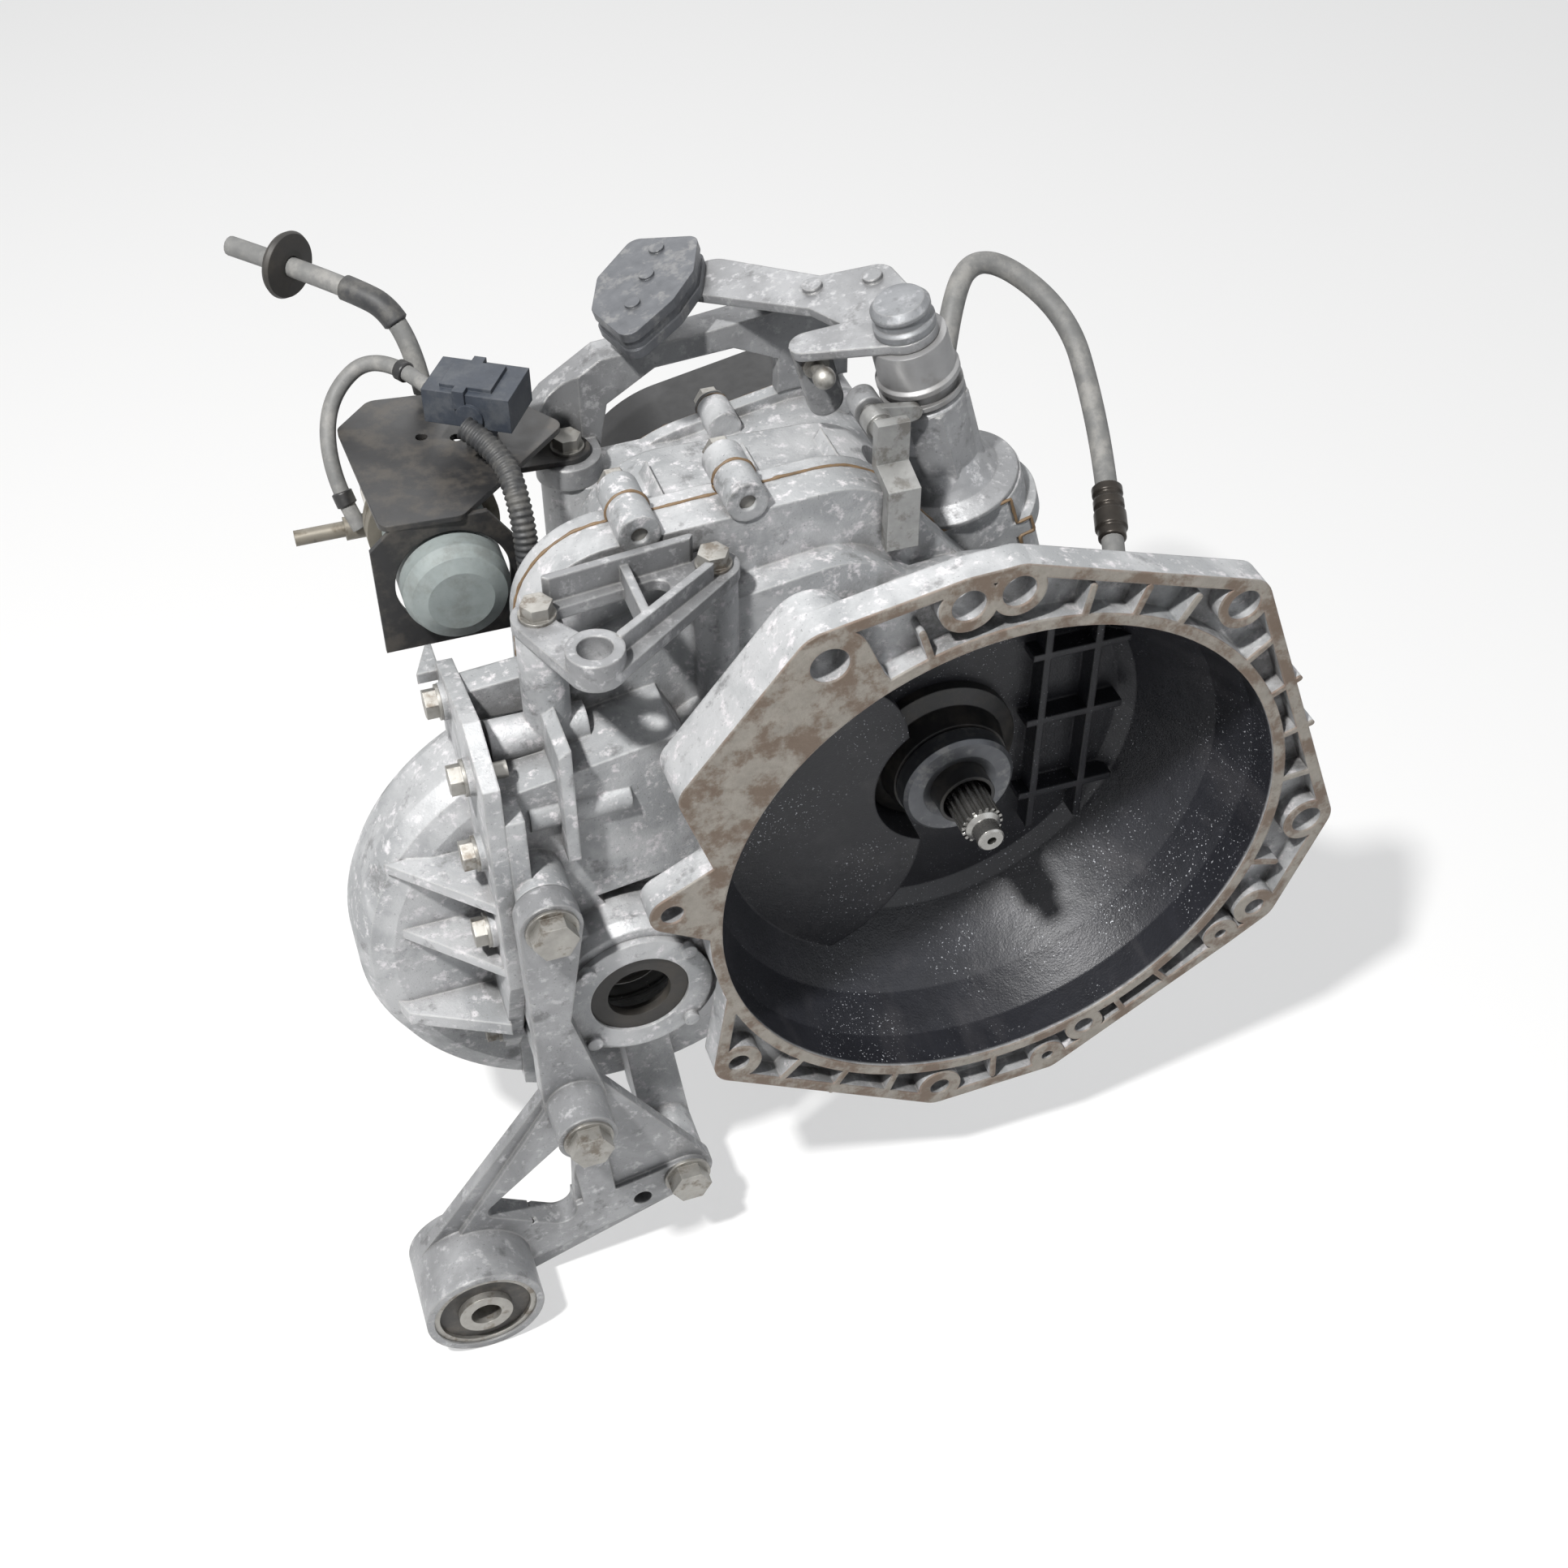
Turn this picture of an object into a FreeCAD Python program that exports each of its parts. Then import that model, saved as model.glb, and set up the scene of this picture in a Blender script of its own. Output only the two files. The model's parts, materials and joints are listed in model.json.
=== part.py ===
"""Five-speed manual transaxle with its differential, selector tower and brackets.

Frame, in millimetres: the origin is on the input shaft's axis in the plane of the engine
flange.  +Y runs from the engine into the gearbox, +Z is up and +X is to the right when
looking from the engine.  The output shaft and the differential lie to the left of the input.
"""
import FreeCAD, Part
import math
import os
import Sketcher
from FreeCAD import Placement, Rotation, Vector
from types import SimpleNamespace

doc = FreeCAD.newDocument("ManualTransaxle")

# ---------------------------------------------------------------- driving dimensions
DIMENSIONS = [
    ("bell_radius", 145, "clutch opening at the engine flange"),
    ("bell_wall", 6, "wall of the bell and of the flange rim"),
    ("flange_bolt_radius", 170, "circle that most engine bolts lie on"),
    ("flange_thickness", 16, "engine flange, front to back"),
    ("flange_web", 5, "web behind the flange pockets"),
    ("flange_boss", 13, "usual radius of an engine bolt boss"),
    ("flange_hole", 5.6, "usual radius of an engine bolt hole"),
    ("dowel_hole", 8.2, "radius of the wide engine bolt holes"),
    ("bell_floor", 92, "engine face to the bell's floor"),
    ("floor_wall", 9, "thickness of the bell's floor"),
    ("lobe_front", 66, "front of the lobe over the output bearing"),
    ("joint_plane", 118, "engine face to the joint of the two castings"),
    ("case_wall", 6, "wall of the gear case"),
    ("case_end", 250, "rear face of the gear case"),
    ("bearing_wall", 18, "rear wall that holds the bearings"),
    ("end_cover_depth", 56, "pressed end cover, front to back"),
    ("sheet_wall", 2.2, "thickness of pressed steel"),
    ("output_x", -68.1, "output shaft from the input shaft, sideways"),
    ("output_z", 31.5, "output shaft from the input shaft, upwards"),
    ("final_x", -182, "differential from the input shaft, sideways"),
    ("final_z", -50, "differential from the input shaft, upwards"),
    ("gear_width", 13, "face width of a speed gear"),
    ("dog_width", 3, "width of a gear's dog ring"),
    ("hub_width", 16, "width of a synchroniser hub"),
    ("axial_gap", 2, "gap between pieces that turn side by side"),
    ("first_gear_front", 122, "front face of the first gear"),
    ("final_front", 86, "front face of the final drive gears"),
    ("final_width", 25, "face width of the final drive gears"),
    ("shaft_radius", 13, "output shaft under the loose gears"),
    ("input_core", 12, "input shaft between its gears"),
    ("spline_radius", 11, "input spline, outside"),
    ("input_tip", 17, "engine face to the tip of the input shaft"),
    ("run_clearance", 0.06, "radial clearance of a running fit"),
    ("seat_clearance", 0.05, "radial clearance of a seated ring or screw"),
    ("bearing_outer", 26, "outer radius of a shaft bearing"),
    ("bearing_width", 14, "width of a shaft bearing"),
    ("final_bearing_outer", 31, "outer radius of a differential bearing"),
    ("final_hub", 19, "radius of the differential case's hubs"),
    ("final_case_radius", 50, "radius of the differential case's cage"),
    ("ring_wall_gap", 4, "ring gear tips to the casting"),
    ("sleeve_travel", 7, "shift of a sleeve from neutral to engaged"),
    ("sleeve_width", 10, "width of a shift sleeve"),
    ("rail_radius", 6, "radius of a shift rail"),
    ("tower_x", 30, "selector tower's foot, sideways"),
    ("tower_y", 150, "selector tower's foot, from the engine face"),
    ("tower_z", 100, "selector tower's foot, height"),
    ("tower_tilt", 16, "lean of the tower towards the differential, degrees"),
    ("tower_height", 112, "foot to the top of the tower's neck"),
    ("selector_radius", 7, "radius of the selector shaft"),
    ("lever_thickness", 5, "shift lever plate"),
    ("weight_plate", 5, "thickness of one counterweight plate"),
    ("cover_plane", -236, "joint of the differential cover, sideways"),
    ("cover_flange", 8, "thickness of the differential cover's flange"),
    ("mount_plane", 20, "front of the bosses that the mount bracket sits on"),
    ("mount_plate", 14, "thickness of the mount bracket's feet"),
    ("bush_outer", 27, "outer radius of the mount bush's seat ring"),
    ("bush_bore", 8, "bore of the mount bush"),
    ("bush_length", 46, "length of the mount bush"),
    ("bolt_radius", 4, "shank radius of the case bolts"),
    ("bolt_head", 6.5, "half the width across flats of a case bolt"),
    ("mount_bolt_radius", 6, "shank radius of the mount bolts"),
    ("mount_bolt_head", 9.5, "half the width across flats of a mount bolt"),
    ("hose_radius", 6, "radius of the hydraulic hose"),
]

sheet = doc.addObject("Spreadsheet::Sheet", "Dimensions")
for row, (name, value, note) in enumerate(DIMENSIONS, start=1):
    sheet.set("A%d" % row, note)
    sheet.set("B%d" % row, str(value))
    sheet.setAlias("B%d" % row, name)
doc.recompute()


class Size:
    """A length together with the sheet expression that gives it."""

    def __init__(self, value, text=None):
        self.value = float(value)
        self.text = text or repr(float(value))
        self.bound = text is not None

    def _join(self, other, sign, value, swap=False):
        other = as_size(other)
        pair = (other.text, self.text) if swap else (self.text, other.text)
        text = "(%s %s %s)" % (pair[0], sign, pair[1])
        return Size(value, text if self.bound or other.bound else None)

    def __add__(self, other):
        return self._join(other, "+", self.value + as_size(other).value)

    def __radd__(self, other):
        return self._join(other, "+", self.value + as_size(other).value, swap=True)

    def __sub__(self, other):
        return self._join(other, "-", self.value - as_size(other).value)

    def __rsub__(self, other):
        return self._join(other, "-", as_size(other).value - self.value, swap=True)

    def __mul__(self, other):
        return self._join(other, "*", self.value * as_size(other).value)

    __rmul__ = __mul__

    def __truediv__(self, other):
        return self._join(other, "/", self.value / as_size(other).value)

    def __neg__(self):
        return 0 - self


def as_size(number):
    return number if isinstance(number, Size) else Size(number)


d = SimpleNamespace(**{name: Size(sheet.get(name), "Dimensions." + name)
                       for name, _, _ in DIMENSIONS})
INPUT = (Size(0), Size(0))
OUTPUT = (d.output_x, d.output_z)
FINAL = (d.final_x, d.final_z)
NODES = []


def bind(thing, prop, size):
    """Give a property its value and, where the value comes from the sheet, its expression."""
    size = as_size(size)
    if size.bound:
        thing.setExpression(prop, size.text)
    elif "." not in prop and "[" not in prop:
        setattr(thing, prop, size.value)
    return size.value


def place(thing, base, axis=None, angle=0):
    """Set a placement; its three coordinates and its angle follow the sheet."""
    x, y, z = (as_size(number) for number in base)
    turn = Rotation(Vector(*axis), as_size(angle).value) if axis else Rotation()
    thing.Placement = Placement(Vector(x.value, y.value, z.value), turn)
    for name, size in zip("xyz", (x, y, z)):
        if size.bound:
            thing.setExpression("Placement.Base." + name, size.text)
    if as_size(angle).bound:
        thing.setExpression("Placement.Rotation.Angle", as_size(angle).text)
    return thing


def node(thing, label):
    thing.Label = label
    NODES.append(thing)
    return thing


# ---------------------------------------------------------------- sketches
def new_body(label, base=(0, 0, 0), axis=None, angle=0):
    body = doc.addObject("PartDesign::Body", label)
    place(body, base, axis, angle)
    return node(body, label)


def new_sketch(body, plane, offset=0):
    """A sketch on one of the body's own planes, moved along the plane's normal."""
    sketch = body.newObject("Sketcher::SketchObject", body.Name + "_sketch")
    origin_plane = [item for item in body.Origin.OriginFeatures if item.Role == plane][0]
    sketch.AttachmentSupport = (origin_plane, [""])
    sketch.MapMode = "FlatFace"
    size = as_size(offset)
    sketch.AttachmentOffset = Placement(Vector(0, 0, size.value), Rotation())
    if size.bound:
        sketch.setExpression("AttachmentOffset.Base.z", size.text)
    return sketch


def pin_point(sketch, geometry, point, x, z):
    """Hold a point of a sketch at two sizes."""
    for kind, size, other_axis in (("DistanceX", as_size(x), -2), ("DistanceY", as_size(z), -1)):
        if size.value == 0 and not size.bound:
            sketch.addConstraint(
                Sketcher.Constraint("PointOnObject", geometry, point, other_axis))
            continue
        index = sketch.addConstraint(Sketcher.Constraint(kind, geometry, point, size.value))
        if size.bound:
            sketch.setExpression("Constraints[%d]" % index, size.text)


def add_polygon(sketch, points):
    values = [Vector(as_size(x).value, as_size(z).value, 0) for x, z in points]
    first = sketch.GeometryCount
    count = len(points)
    for i in range(count):
        sketch.addGeometry(Part.LineSegment(values[i], values[(i + 1) % count]), False)
    for i in range(count):
        sketch.addConstraint(Sketcher.Constraint(
            "Coincident", first + i, 2, first + (i + 1) % count, 1))
    for i, (x, z) in enumerate(points):
        pin_point(sketch, first + i, 1, x, z)


def add_circle(sketch, centre, radius):
    x, z = (as_size(number) for number in centre)
    radius = as_size(radius)
    shape = Part.Circle(Vector(x.value, z.value, 0), Vector(0, 0, 1), radius.value)
    index = sketch.addGeometry(shape, False)
    pin_point(sketch, index, 3, x, z)
    constraint = sketch.addConstraint(Sketcher.Constraint("Radius", index, radius.value))
    if radius.bound:
        sketch.setExpression("Constraints[%d]" % constraint, radius.text)


def belt_points(circles):
    """Touch points of the outer tangents round circles listed counter-clockwise."""
    values = [(as_size(x).value, as_size(z).value, as_size(r).value) for x, z, r in circles]
    touches = []
    for i, (x1, z1, r1) in enumerate(values):
        x2, z2, r2 = values[(i + 1) % len(values)]
        span = math.hypot(x2 - x1, z2 - z1)
        along = math.atan2(z2 - z1, x2 - x1)
        normal = along - math.acos((r1 - r2) / span)
        step = Vector(math.cos(normal), math.sin(normal), 0)
        touches.append((Vector(x1, z1, 0) + step * r1, Vector(x2, z2, 0) + step * r2))
    return values, touches


def add_belt(sketch, circles):
    """A closed outline of arcs round the circles, joined by tangent lines."""
    values, touches = belt_points(circles)
    first = sketch.GeometryCount
    count = len(circles)
    for i, (x, z, radius) in enumerate(values):
        enter = touches[i - 1][1] - Vector(x, z, 0)
        leave = touches[i][0] - Vector(x, z, 0)
        start = math.atan2(enter.y, enter.x)
        end = math.atan2(leave.y, leave.x)
        circle = Part.Circle(Vector(x, z, 0), Vector(0, 0, 1), radius)
        sketch.addGeometry(Part.ArcOfCircle(circle, start, end), False)
        sketch.addGeometry(Part.LineSegment(*touches[i]), False)
    for i, (x, z, radius) in enumerate(circles):
        arc, line = first + 2 * i, first + 2 * i + 1
        next_arc = first + 2 * ((i + 1) % count)
        sketch.addConstraint(Sketcher.Constraint("Tangent", arc, 2, line, 1))
        sketch.addConstraint(Sketcher.Constraint("Tangent", line, 2, next_arc, 1))
        pin_point(sketch, arc, 3, x, z)
        index = sketch.addConstraint(
            Sketcher.Constraint("Radius", arc, as_size(radius).value))
        if as_size(radius).bound:
            sketch.setExpression("Constraints[%d]" % index, as_size(radius).text)


def draw(sketch, shapes):
    """Shapes: a list of points, ("belt", circles), or ("circle", x, z, radius)."""
    for shape in shapes:
        if shape[0] == "belt":
            add_belt(sketch, shape[1])
        elif shape[0] == "circle":
            add_circle(sketch, shape[1:3], shape[3])
        else:
            add_polygon(sketch, shape)


def checked(body, feature, grows):
    """Recompute and make sure that the feature added or removed material."""
    before = body.Shape.Volume if body.Tip and not body.Shape.isNull() else 0.0
    doc.recompute()
    change = feature.Shape.Volume - before
    if not feature.isValid() or (change > 0) != grows:
        raise RuntimeError("%s of %s changed the volume by %.1f"
                           % (feature.Name, body.Label, change))
    return feature


def pad(body, shapes, front, back, plane="XZ_Plane"):
    """Material between two stations along Y (or X or Z), with the given outline."""
    flip = plane == "XZ_Plane"
    sketch = new_sketch(body, plane, -front if flip else front)
    draw(sketch, shapes)
    feature = body.newObject("PartDesign::Pad", body.Name + "_pad")
    feature.Profile = sketch
    feature.Refine = False
    feature.Reversed = flip
    bind(feature, "Length", as_size(back) - front)
    return checked(body, feature, True)


def pocket(body, shapes, front, back, plane="XZ_Plane"):
    """Remove material between two stations along Y (or X or Z)."""
    flip = plane == "XZ_Plane"
    sketch = new_sketch(body, plane, -as_size(front) if flip else front)
    draw(sketch, shapes)
    feature = body.newObject("PartDesign::Pocket", body.Name + "_pocket")
    feature.Profile = sketch
    feature.Refine = False
    feature.Reversed = not flip
    bind(feature, "Length", as_size(back) - front)
    return checked(body, feature, False)


def revolve(body, profile, cut=False, along="Y"):
    """Turn (radius, station) points about the body's own Y or Z axis."""
    sketch = new_sketch(body, {"Y": "XY_Plane", "Z": "XZ_Plane"}[along])
    add_polygon(sketch, profile)
    kind = "PartDesign::Groove" if cut else "PartDesign::Revolution"
    feature = body.newObject(kind, body.Name + ("_groove" if cut else "_revolution"))
    feature.Profile = sketch
    feature.Refine = False
    feature.ReferenceAxis = (sketch, ["V_Axis"])
    feature.Angle = 360
    return checked(body, feature, not cut)


def turned(label, centre, profile, along="Y"):
    """A turned piece on an axis along Y through (x, z)."""
    body = new_body(label, (centre[0], 0, centre[1]))
    revolve(body, profile, along=along)
    return body


def tube_profile(inner, outer, front, back):
    return [(inner, front), (outer, front), (outer, back), (inner, back)]


# ---------------------------------------------------------------- gear outlines
def gear_wire(teeth, module, phase, y, inner=False):
    """A toothed outline with straight flanks; phase turns it, in teeth."""
    pitch_radius = teeth * module / 2
    tip = pitch_radius + (-0.9 if inner else 0.9) * module
    root = pitch_radius + (1.15 if inner else -1.15) * module
    step = 2 * math.pi / teeth
    points = []
    for tooth in range(teeth):
        centre = (tooth + phase) * step
        for radius, share in ((root, -0.33), (tip, -0.11), (tip, 0.11), (root, 0.33)):
            angle = centre + share * step
            points.append(Vector(radius * math.cos(angle), y, radius * math.sin(angle)))
    return Part.makePolygon(points + points[:1])


def gear_solid(teeth, module, phase, front, width):
    face = Part.Face(gear_wire(teeth, module, phase, front))
    return face.extrude(Vector(0, width, 0))


def y_cylinder(radius, front, back, x=0, z=0):
    return Part.makeCylinder(radius, back - front, Vector(x, front, z), Vector(0, 1, 0))


def outline_wire(shape):
    """A closed wire in the XY plane from a list of points, a belt or a circle."""
    if shape[0] == "belt":
        values, touches = belt_points(shape[1])
        edges = []
        for i, (x, z, radius) in enumerate(values):
            centre = Vector(x, z, 0)
            enter, leave = touches[i - 1][1], touches[i][0]
            start = math.atan2(enter.y - z, enter.x - x)
            sweep = (math.atan2(leave.y - z, leave.x - x) - start) % (2 * math.pi)
            if sweep > 1.8 * math.pi:
                sweep -= 2 * math.pi
            if abs(sweep) > 1e-6:
                half = start + sweep / 2
                middle = centre + Vector(math.cos(half), math.sin(half), 0) * radius
                edges.append(Part.Arc(enter, middle, leave).toShape())
            edges.append(Part.LineSegment(*touches[i]).toShape())
        return Part.Wire(edges)
    if shape[0] == "circle":
        x, z, radius = (as_size(number).value for number in shape[1:4])
        return Part.Wire(Part.makeCircle(radius, Vector(x, z, 0)))
    points = [Vector(as_size(x).value, as_size(z).value, 0) for x, z in shape]
    return Part.makePolygon(points + points[:1])


# a sketch plane's own axes seen from the piece: along Y, along X and along Z
PLANE_TURN = {"XZ_Plane": Rotation(Vector(1, 0, 0), 90), "YZ_Plane": Rotation(Vector(1, 1, 1), 120),
              "XY_Plane": Rotation()}


def outward(solid):
    """The same solid with its faces turned outward."""
    return solid.reversed() if solid.Volume < 0 else solid


def block(shape, front, back, plane="XZ_Plane", hole=None):
    """A straight solid of the given outline between two stations along Y, X or Z."""
    front, back = as_size(front).value, as_size(back).value
    solid = outward(Part.Face(outline_wire(shape)).extrude(Vector(0, 0, back - front)))
    if hole:
        solid = solid.cut(outward(Part.Face(outline_wire(hole)).extrude(Vector(0, 0, back - front))))
    turn = PLANE_TURN[plane]
    if plane == "XZ_Plane":
        solid.translate(Vector(0, 0, -back))
    else:
        solid.translate(Vector(0, 0, front))
    solid.Placement = Placement(Vector(), turn).multiply(solid.Placement)
    return solid


def spun(profile, centre=(0, 0)):
    """A solid turned about an axis along Y from (radius, station) points."""
    points = [Vector(as_size(r).value, as_size(y).value, 0) for r, y in profile]
    face = Part.Face(Part.makePolygon(points + points[:1]))
    solid = outward(face.revolve(Vector(), Vector(0, 1, 0), 360))
    solid.translate(Vector(as_size(centre[0]).value, 0, as_size(centre[1]).value))
    return solid


def joined(solids):
    return solids[0].multiFuse(solids[1:])


def casting(label, stages):
    """A cast piece: stages of solids to add and solids to remove, in turn."""
    shape = None
    for added, removed in stages:
        shape = joined(([shape] if shape else []) + added)
        if removed:
            shape = shape.cut(removed)
    shape = shape.removeSplitter()
    if len(shape.Solids) != 1:
        sizes = [round(solid.Volume) for solid in shape.Solids]
        boxes = [solid.BoundBox for solid in shape.Solids]
        raise RuntimeError("%s fell into %s %s" % (label, sizes, boxes))
    return shape_node(label, shape.Solids[0])


def shape_node(label, shape, base=None, axis=None, angle=0):
    """A piece whose toothed or swept shape is made from the sheet's sizes in code."""
    feature = doc.addObject("Part::Feature", label)
    feature.Shape = shape
    if base:
        place(feature, base, axis, angle)
    return node(feature, label)


# ---------------------------------------------------------------- stations along the shafts
SPEED_TEETH = {1: (9, 31), 2: (13, 27), 3: (17, 23), 4: (21, 19), 5: (23, 17)}
REVERSE_TEETH = (9, 13, 26)
FINAL_TEETH = (13, 51)
DOG_TEETH = 10
width, dog, gap, hub = d.gear_width, d.dog_width, d.axial_gap, d.hub_width
FRONT = {1: d.first_gear_front}
HUB_FRONT = {"12": FRONT[1] + width + dog + gap}
FRONT[2] = HUB_FRONT["12"] + hub + gap + dog
FRONT[3] = FRONT[2] + width + gap
HUB_FRONT["34"] = FRONT[3] + width + dog + gap
FRONT[4] = HUB_FRONT["34"] + hub + gap + dog
FRONT[5] = d.case_end + gap
HUB_FRONT["5r"] = FRONT[5] + width + dog + gap
FRONT["reverse"] = HUB_FRONT["5r"] + hub + gap + dog
REVERSE_WIDTH = Size(10)
SHAFT_END = FRONT["reverse"] + REVERSE_WIDTH + 1
BEARING_FRONT = {
    "input_front": d.bell_floor + d.floor_wall,
    "input_rear": d.case_end - d.bearing_width - 2,
    "output_front": d.lobe_front + 4,
    "output_rear": d.case_end - d.bearing_width - 2,
}
FINAL_CENTRE = d.final_front + 14
CAGE_HALF = Size(36)
FINAL_BEARING_WIDTH = Size(16)

# gear sizes that follow from the distances between the axes
shaft_distance = math.hypot(d.output_x.value, d.output_z.value)
speed_module = 2 * shaft_distance / sum(SPEED_TEETH[1])
final_distance = math.hypot(d.final_x.value - d.output_x.value, d.final_z.value - d.output_z.value)
final_module = 2 * final_distance / sum(FINAL_TEETH)
ring_tip = (FINAL_TEETH[1] / 2 + 0.9) * final_module
chamber_radius = ring_tip + d.ring_wall_gap.value
bulge_radius = chamber_radius + d.case_wall.value


def axis_angle(start, end):
    return math.atan2(end[1].value - start[1].value, end[0].value - start[0].value)


def meshing_phase(teeth_a, phase_a, teeth_b, angle):
    """Phase of gear b that puts its gap where gear a has a tooth, along the angle a to b."""
    share_a = angle * teeth_a / (2 * math.pi) - phase_a
    return (angle + math.pi) * teeth_b / (2 * math.pi) - 0.5 + share_a


# ---------------------------------------------------------------- engine flange
# angle in degrees, distance from the bolt circle, boss radius, hole radius or None
ENGINE_BOLTS = [
    (121.6, 8.6, 19, d.dowel_hole + 1),
    (100.3, 0.8, 15, d.dowel_hole),
    (92.4, 0.3, 14, d.dowel_hole),
    (51.0, 0.8, 14, d.dowel_hole),
    (-8.1, 2.5, 14, d.dowel_hole),
    (-28.8, 2.5, d.flange_boss, d.flange_hole),
    (-36.4, -4.2, 11, 3.4),
    (-76.8, -3.3, 11, 3.4),
    (-98.8, -4.6, d.flange_boss, d.flange_hole),
    (-144.9, -1.0, d.flange_boss, d.flange_hole),
]
EAR_BOLT = (172.2, 0.2, 11, d.flange_hole)
INNER_BOSSES = [(119.0, -17.6, 10, None), (-68.1, -14.1, 12, d.flange_hole)]
FLANGE_RIBS = [108, 80, 70, 60, 40, 28, 16, 4, -18, -50, -60, -88, -110, -122, -134]


def polar(angle, radius):
    turn = math.radians(angle)
    return radius * math.cos(turn), radius * math.sin(turn)


def bolt_place(bolt):
    return polar(bolt[0], d.flange_bolt_radius + bolt[1])


def flange_circles(inset=0):
    """The bolt bosses from the right-hand side round over the top, less a wall."""
    ordered = sorted(ENGINE_BOLTS, key=lambda bolt: bolt[0])
    return [bolt_place(bolt) + (bolt[2] - as_size(inset),) for bolt in ordered]


# outline of the joint between the two castings, looking along +Y: right, top, left, bottom
LEFT_TOP = (-160, 116, 46)
RIGHT_TOP = (-56, 122, 46)
RIGHT = (8, 30, 56)
BOTTOM = (5, -15, 52)


def joint_circles(inset=0):
    final = FINAL + (Size(bulge_radius),)
    return [(x, z, radius - as_size(inset)) for x, z, radius in
            (BOTTOM, RIGHT, RIGHT_TOP, LEFT_TOP, final)]


def left_of(plane, low=-400, high=300):
    """A rectangle that covers everything to the left of a sideways station."""
    return [(-400, low), (plane, low), (plane, high), (-400, high)]


def right_of(plane, low=-400, high=300):
    return [(plane, low), (200, low), (200, high), (plane, high)]


MOUNT_BOSSES = [(-224, 27, 15), (-222, -100, 13), (-167, -186, 13)]
JOINT_BOSSES = [(-149, 166, 10), (-98, 172, 10)]
CABLE_FEET = [(-203, 74, 11), (-119, 84, 11)]
CABLE_SEAT = 146
SHOULDER = 98
COVER_BOLTS = [(52, 88), (50, 42), (48, -8), (64, -97), (104, 90)]


def drum_solid(radius, front, back):
    """The differential's drum on the castings' side of the cover's joint."""
    whole = y_cylinder(radius, as_size(front).value, as_size(back).value, d.final_x.value, d.final_z.value)
    return whole.cut(block(left_of(d.cover_plane), -10, 400))


def drilled(circles, front, back, plane="XZ_Plane"):
    return [block(("circle", x, z, radius), front, back, plane) for x, z, radius in circles]


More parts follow.
